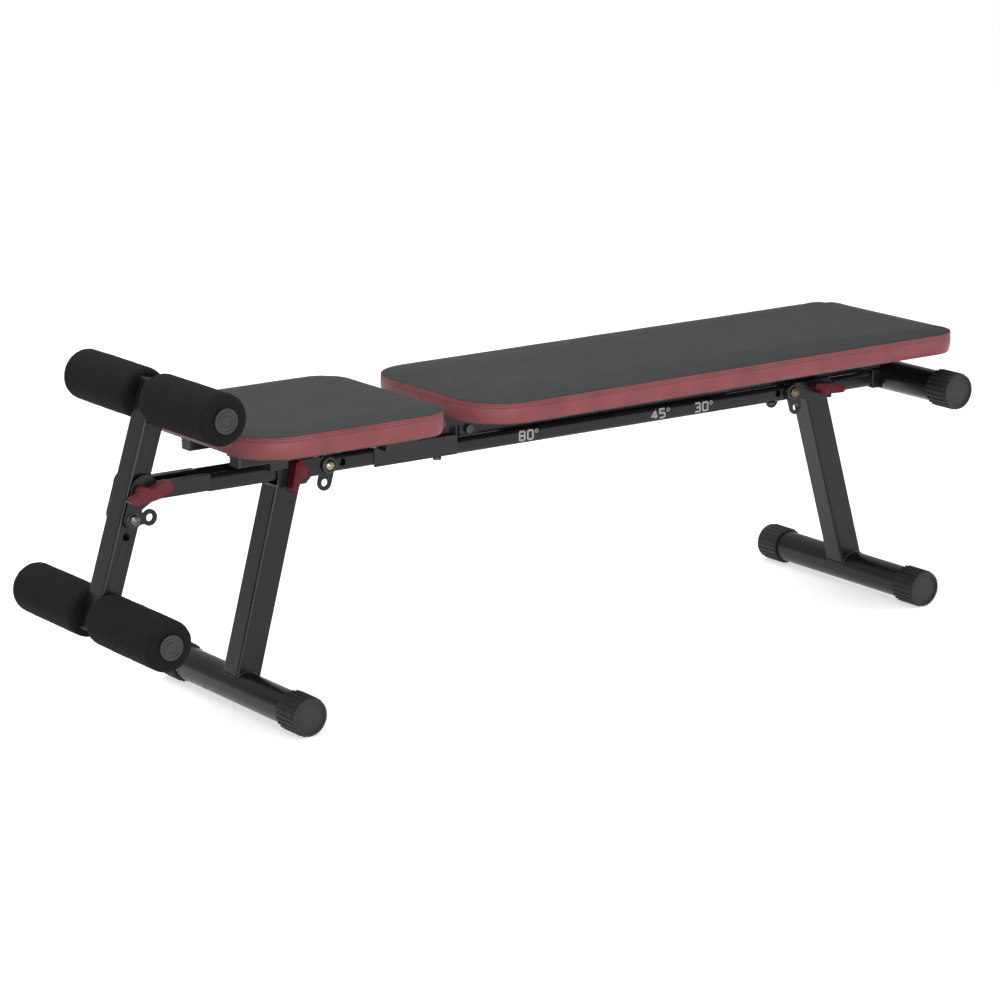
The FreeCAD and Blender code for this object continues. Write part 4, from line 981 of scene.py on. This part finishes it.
def studio_floor():
    """A wide pale floor that looks white and throws only a little light back up."""
    half = 60.0
    verts = [(-half, -half, 0), (half, -half, 0), (half, half, 0), (-half, half, 0)]
    r = Recipe("studio_floor")
    direct = seen_directly(r)
    pale = r.blend(r.spread(r.noise(3, 3), 0, 1), (0.88, 0.88, 0.885), (0.9, 0.9, 0.9))
    colour = r.blend(direct, (0.30, 0.30, 0.305), pale)
    glow = r.spread(direct, 0.0, 0.55, 0.0, 1.0)
    material = r.finish(colour, 0.8, Specular_IOR_Level=0.0, Emission_Color=(1.0, 1.0, 1.0),
                        Emission_Strength=glow)
    mesh_piece("studio_floor", verts, [(0, 1, 2, 3)], material)


def studio_world():
    """Even white surroundings: bright to look at, gentler as a light."""
    world = bpy.data.worlds.new("studio")
    world.use_nodes = True
    tree = world.node_tree
    path = tree.nodes.new("ShaderNodeLightPath")
    strength = tree.nodes.new("ShaderNodeMapRange")
    strength.inputs["To Min"].default_value = 0.5
    strength.inputs["To Max"].default_value = 1.0
    tree.links.new(path.outputs["Is Camera Ray"], strength.inputs["Value"])
    tree.nodes["Background"].inputs["Color"].default_value = (1.0, 1.0, 1.0, 1.0)
    tree.links.new(strength.outputs["Result"], tree.nodes["Background"].inputs["Strength"])
    SCENE.world = world


def softbox(name, place, aim, size, power):
    """A rectangular area light that faces a point."""
    data = bpy.data.lights.new(name, "AREA")
    data.shape = "RECTANGLE"
    data.size, data.size_y = size
    data.energy = power
    lamp = bpy.data.objects.new(name, data)
    lamp.location = place
    lamp.rotation_euler = (Vector(aim) - Vector(place)).to_track_quat("-Z", "Y").to_euler()
    SCENE.collection.objects.link(lamp)


studio_floor()
studio_world()
softbox("overhead", (-0.2, 0.6, 3.2), (0, 0, 0.3), (3.6, 2.6), 62)
softbox("camera_side", (-1.6, -4.6, 0.7), (0, 0, 0.3), (4.2, 1.3), 124)
softbox("head_end", (3.2, -1.6, 1.6), (0.2, 0, 0.3), (1.8, 1.4), 26)
softbox("foot_end", (-3.6, 0.4, 1.8), (-0.6, 0, 0.3), (1.6, 1.4), 16)
SCENE.view_settings.view_transform = "Standard"
SCENE.view_settings.look = "None"


def three_quarter_camera(place, yaw, pitch, roll, lens):
    """A long-lens camera; yaw turns from +Y towards +X, and the angles are in degrees."""
    yaw, pitch, roll = math.radians(yaw), math.radians(pitch), math.radians(roll)
    forward = Vector((math.sin(yaw) * math.cos(pitch), math.cos(yaw) * math.cos(pitch), math.sin(pitch)))
    level = Vector((math.cos(yaw), -math.sin(yaw), 0))
    lift = level.cross(forward)
    right = level * math.cos(roll) + lift * math.sin(roll)
    upward = lift * math.cos(roll) - level * math.sin(roll)
    data = bpy.data.cameras.new("camera")
    data.sensor_width = 36.0
    data.lens = lens
    camera = bpy.data.objects.new("camera", data)
    camera.matrix_world = Matrix((right, upward, -forward)).transposed().to_4x4()
    camera.location = place
    SCENE.collection.objects.link(camera)
    SCENE.camera = camera


three_quarter_camera((-3.0078, -4.1877, 1.5128), yaw=35.43, pitch=-13.92, roll=-0.17, lens=126.0)
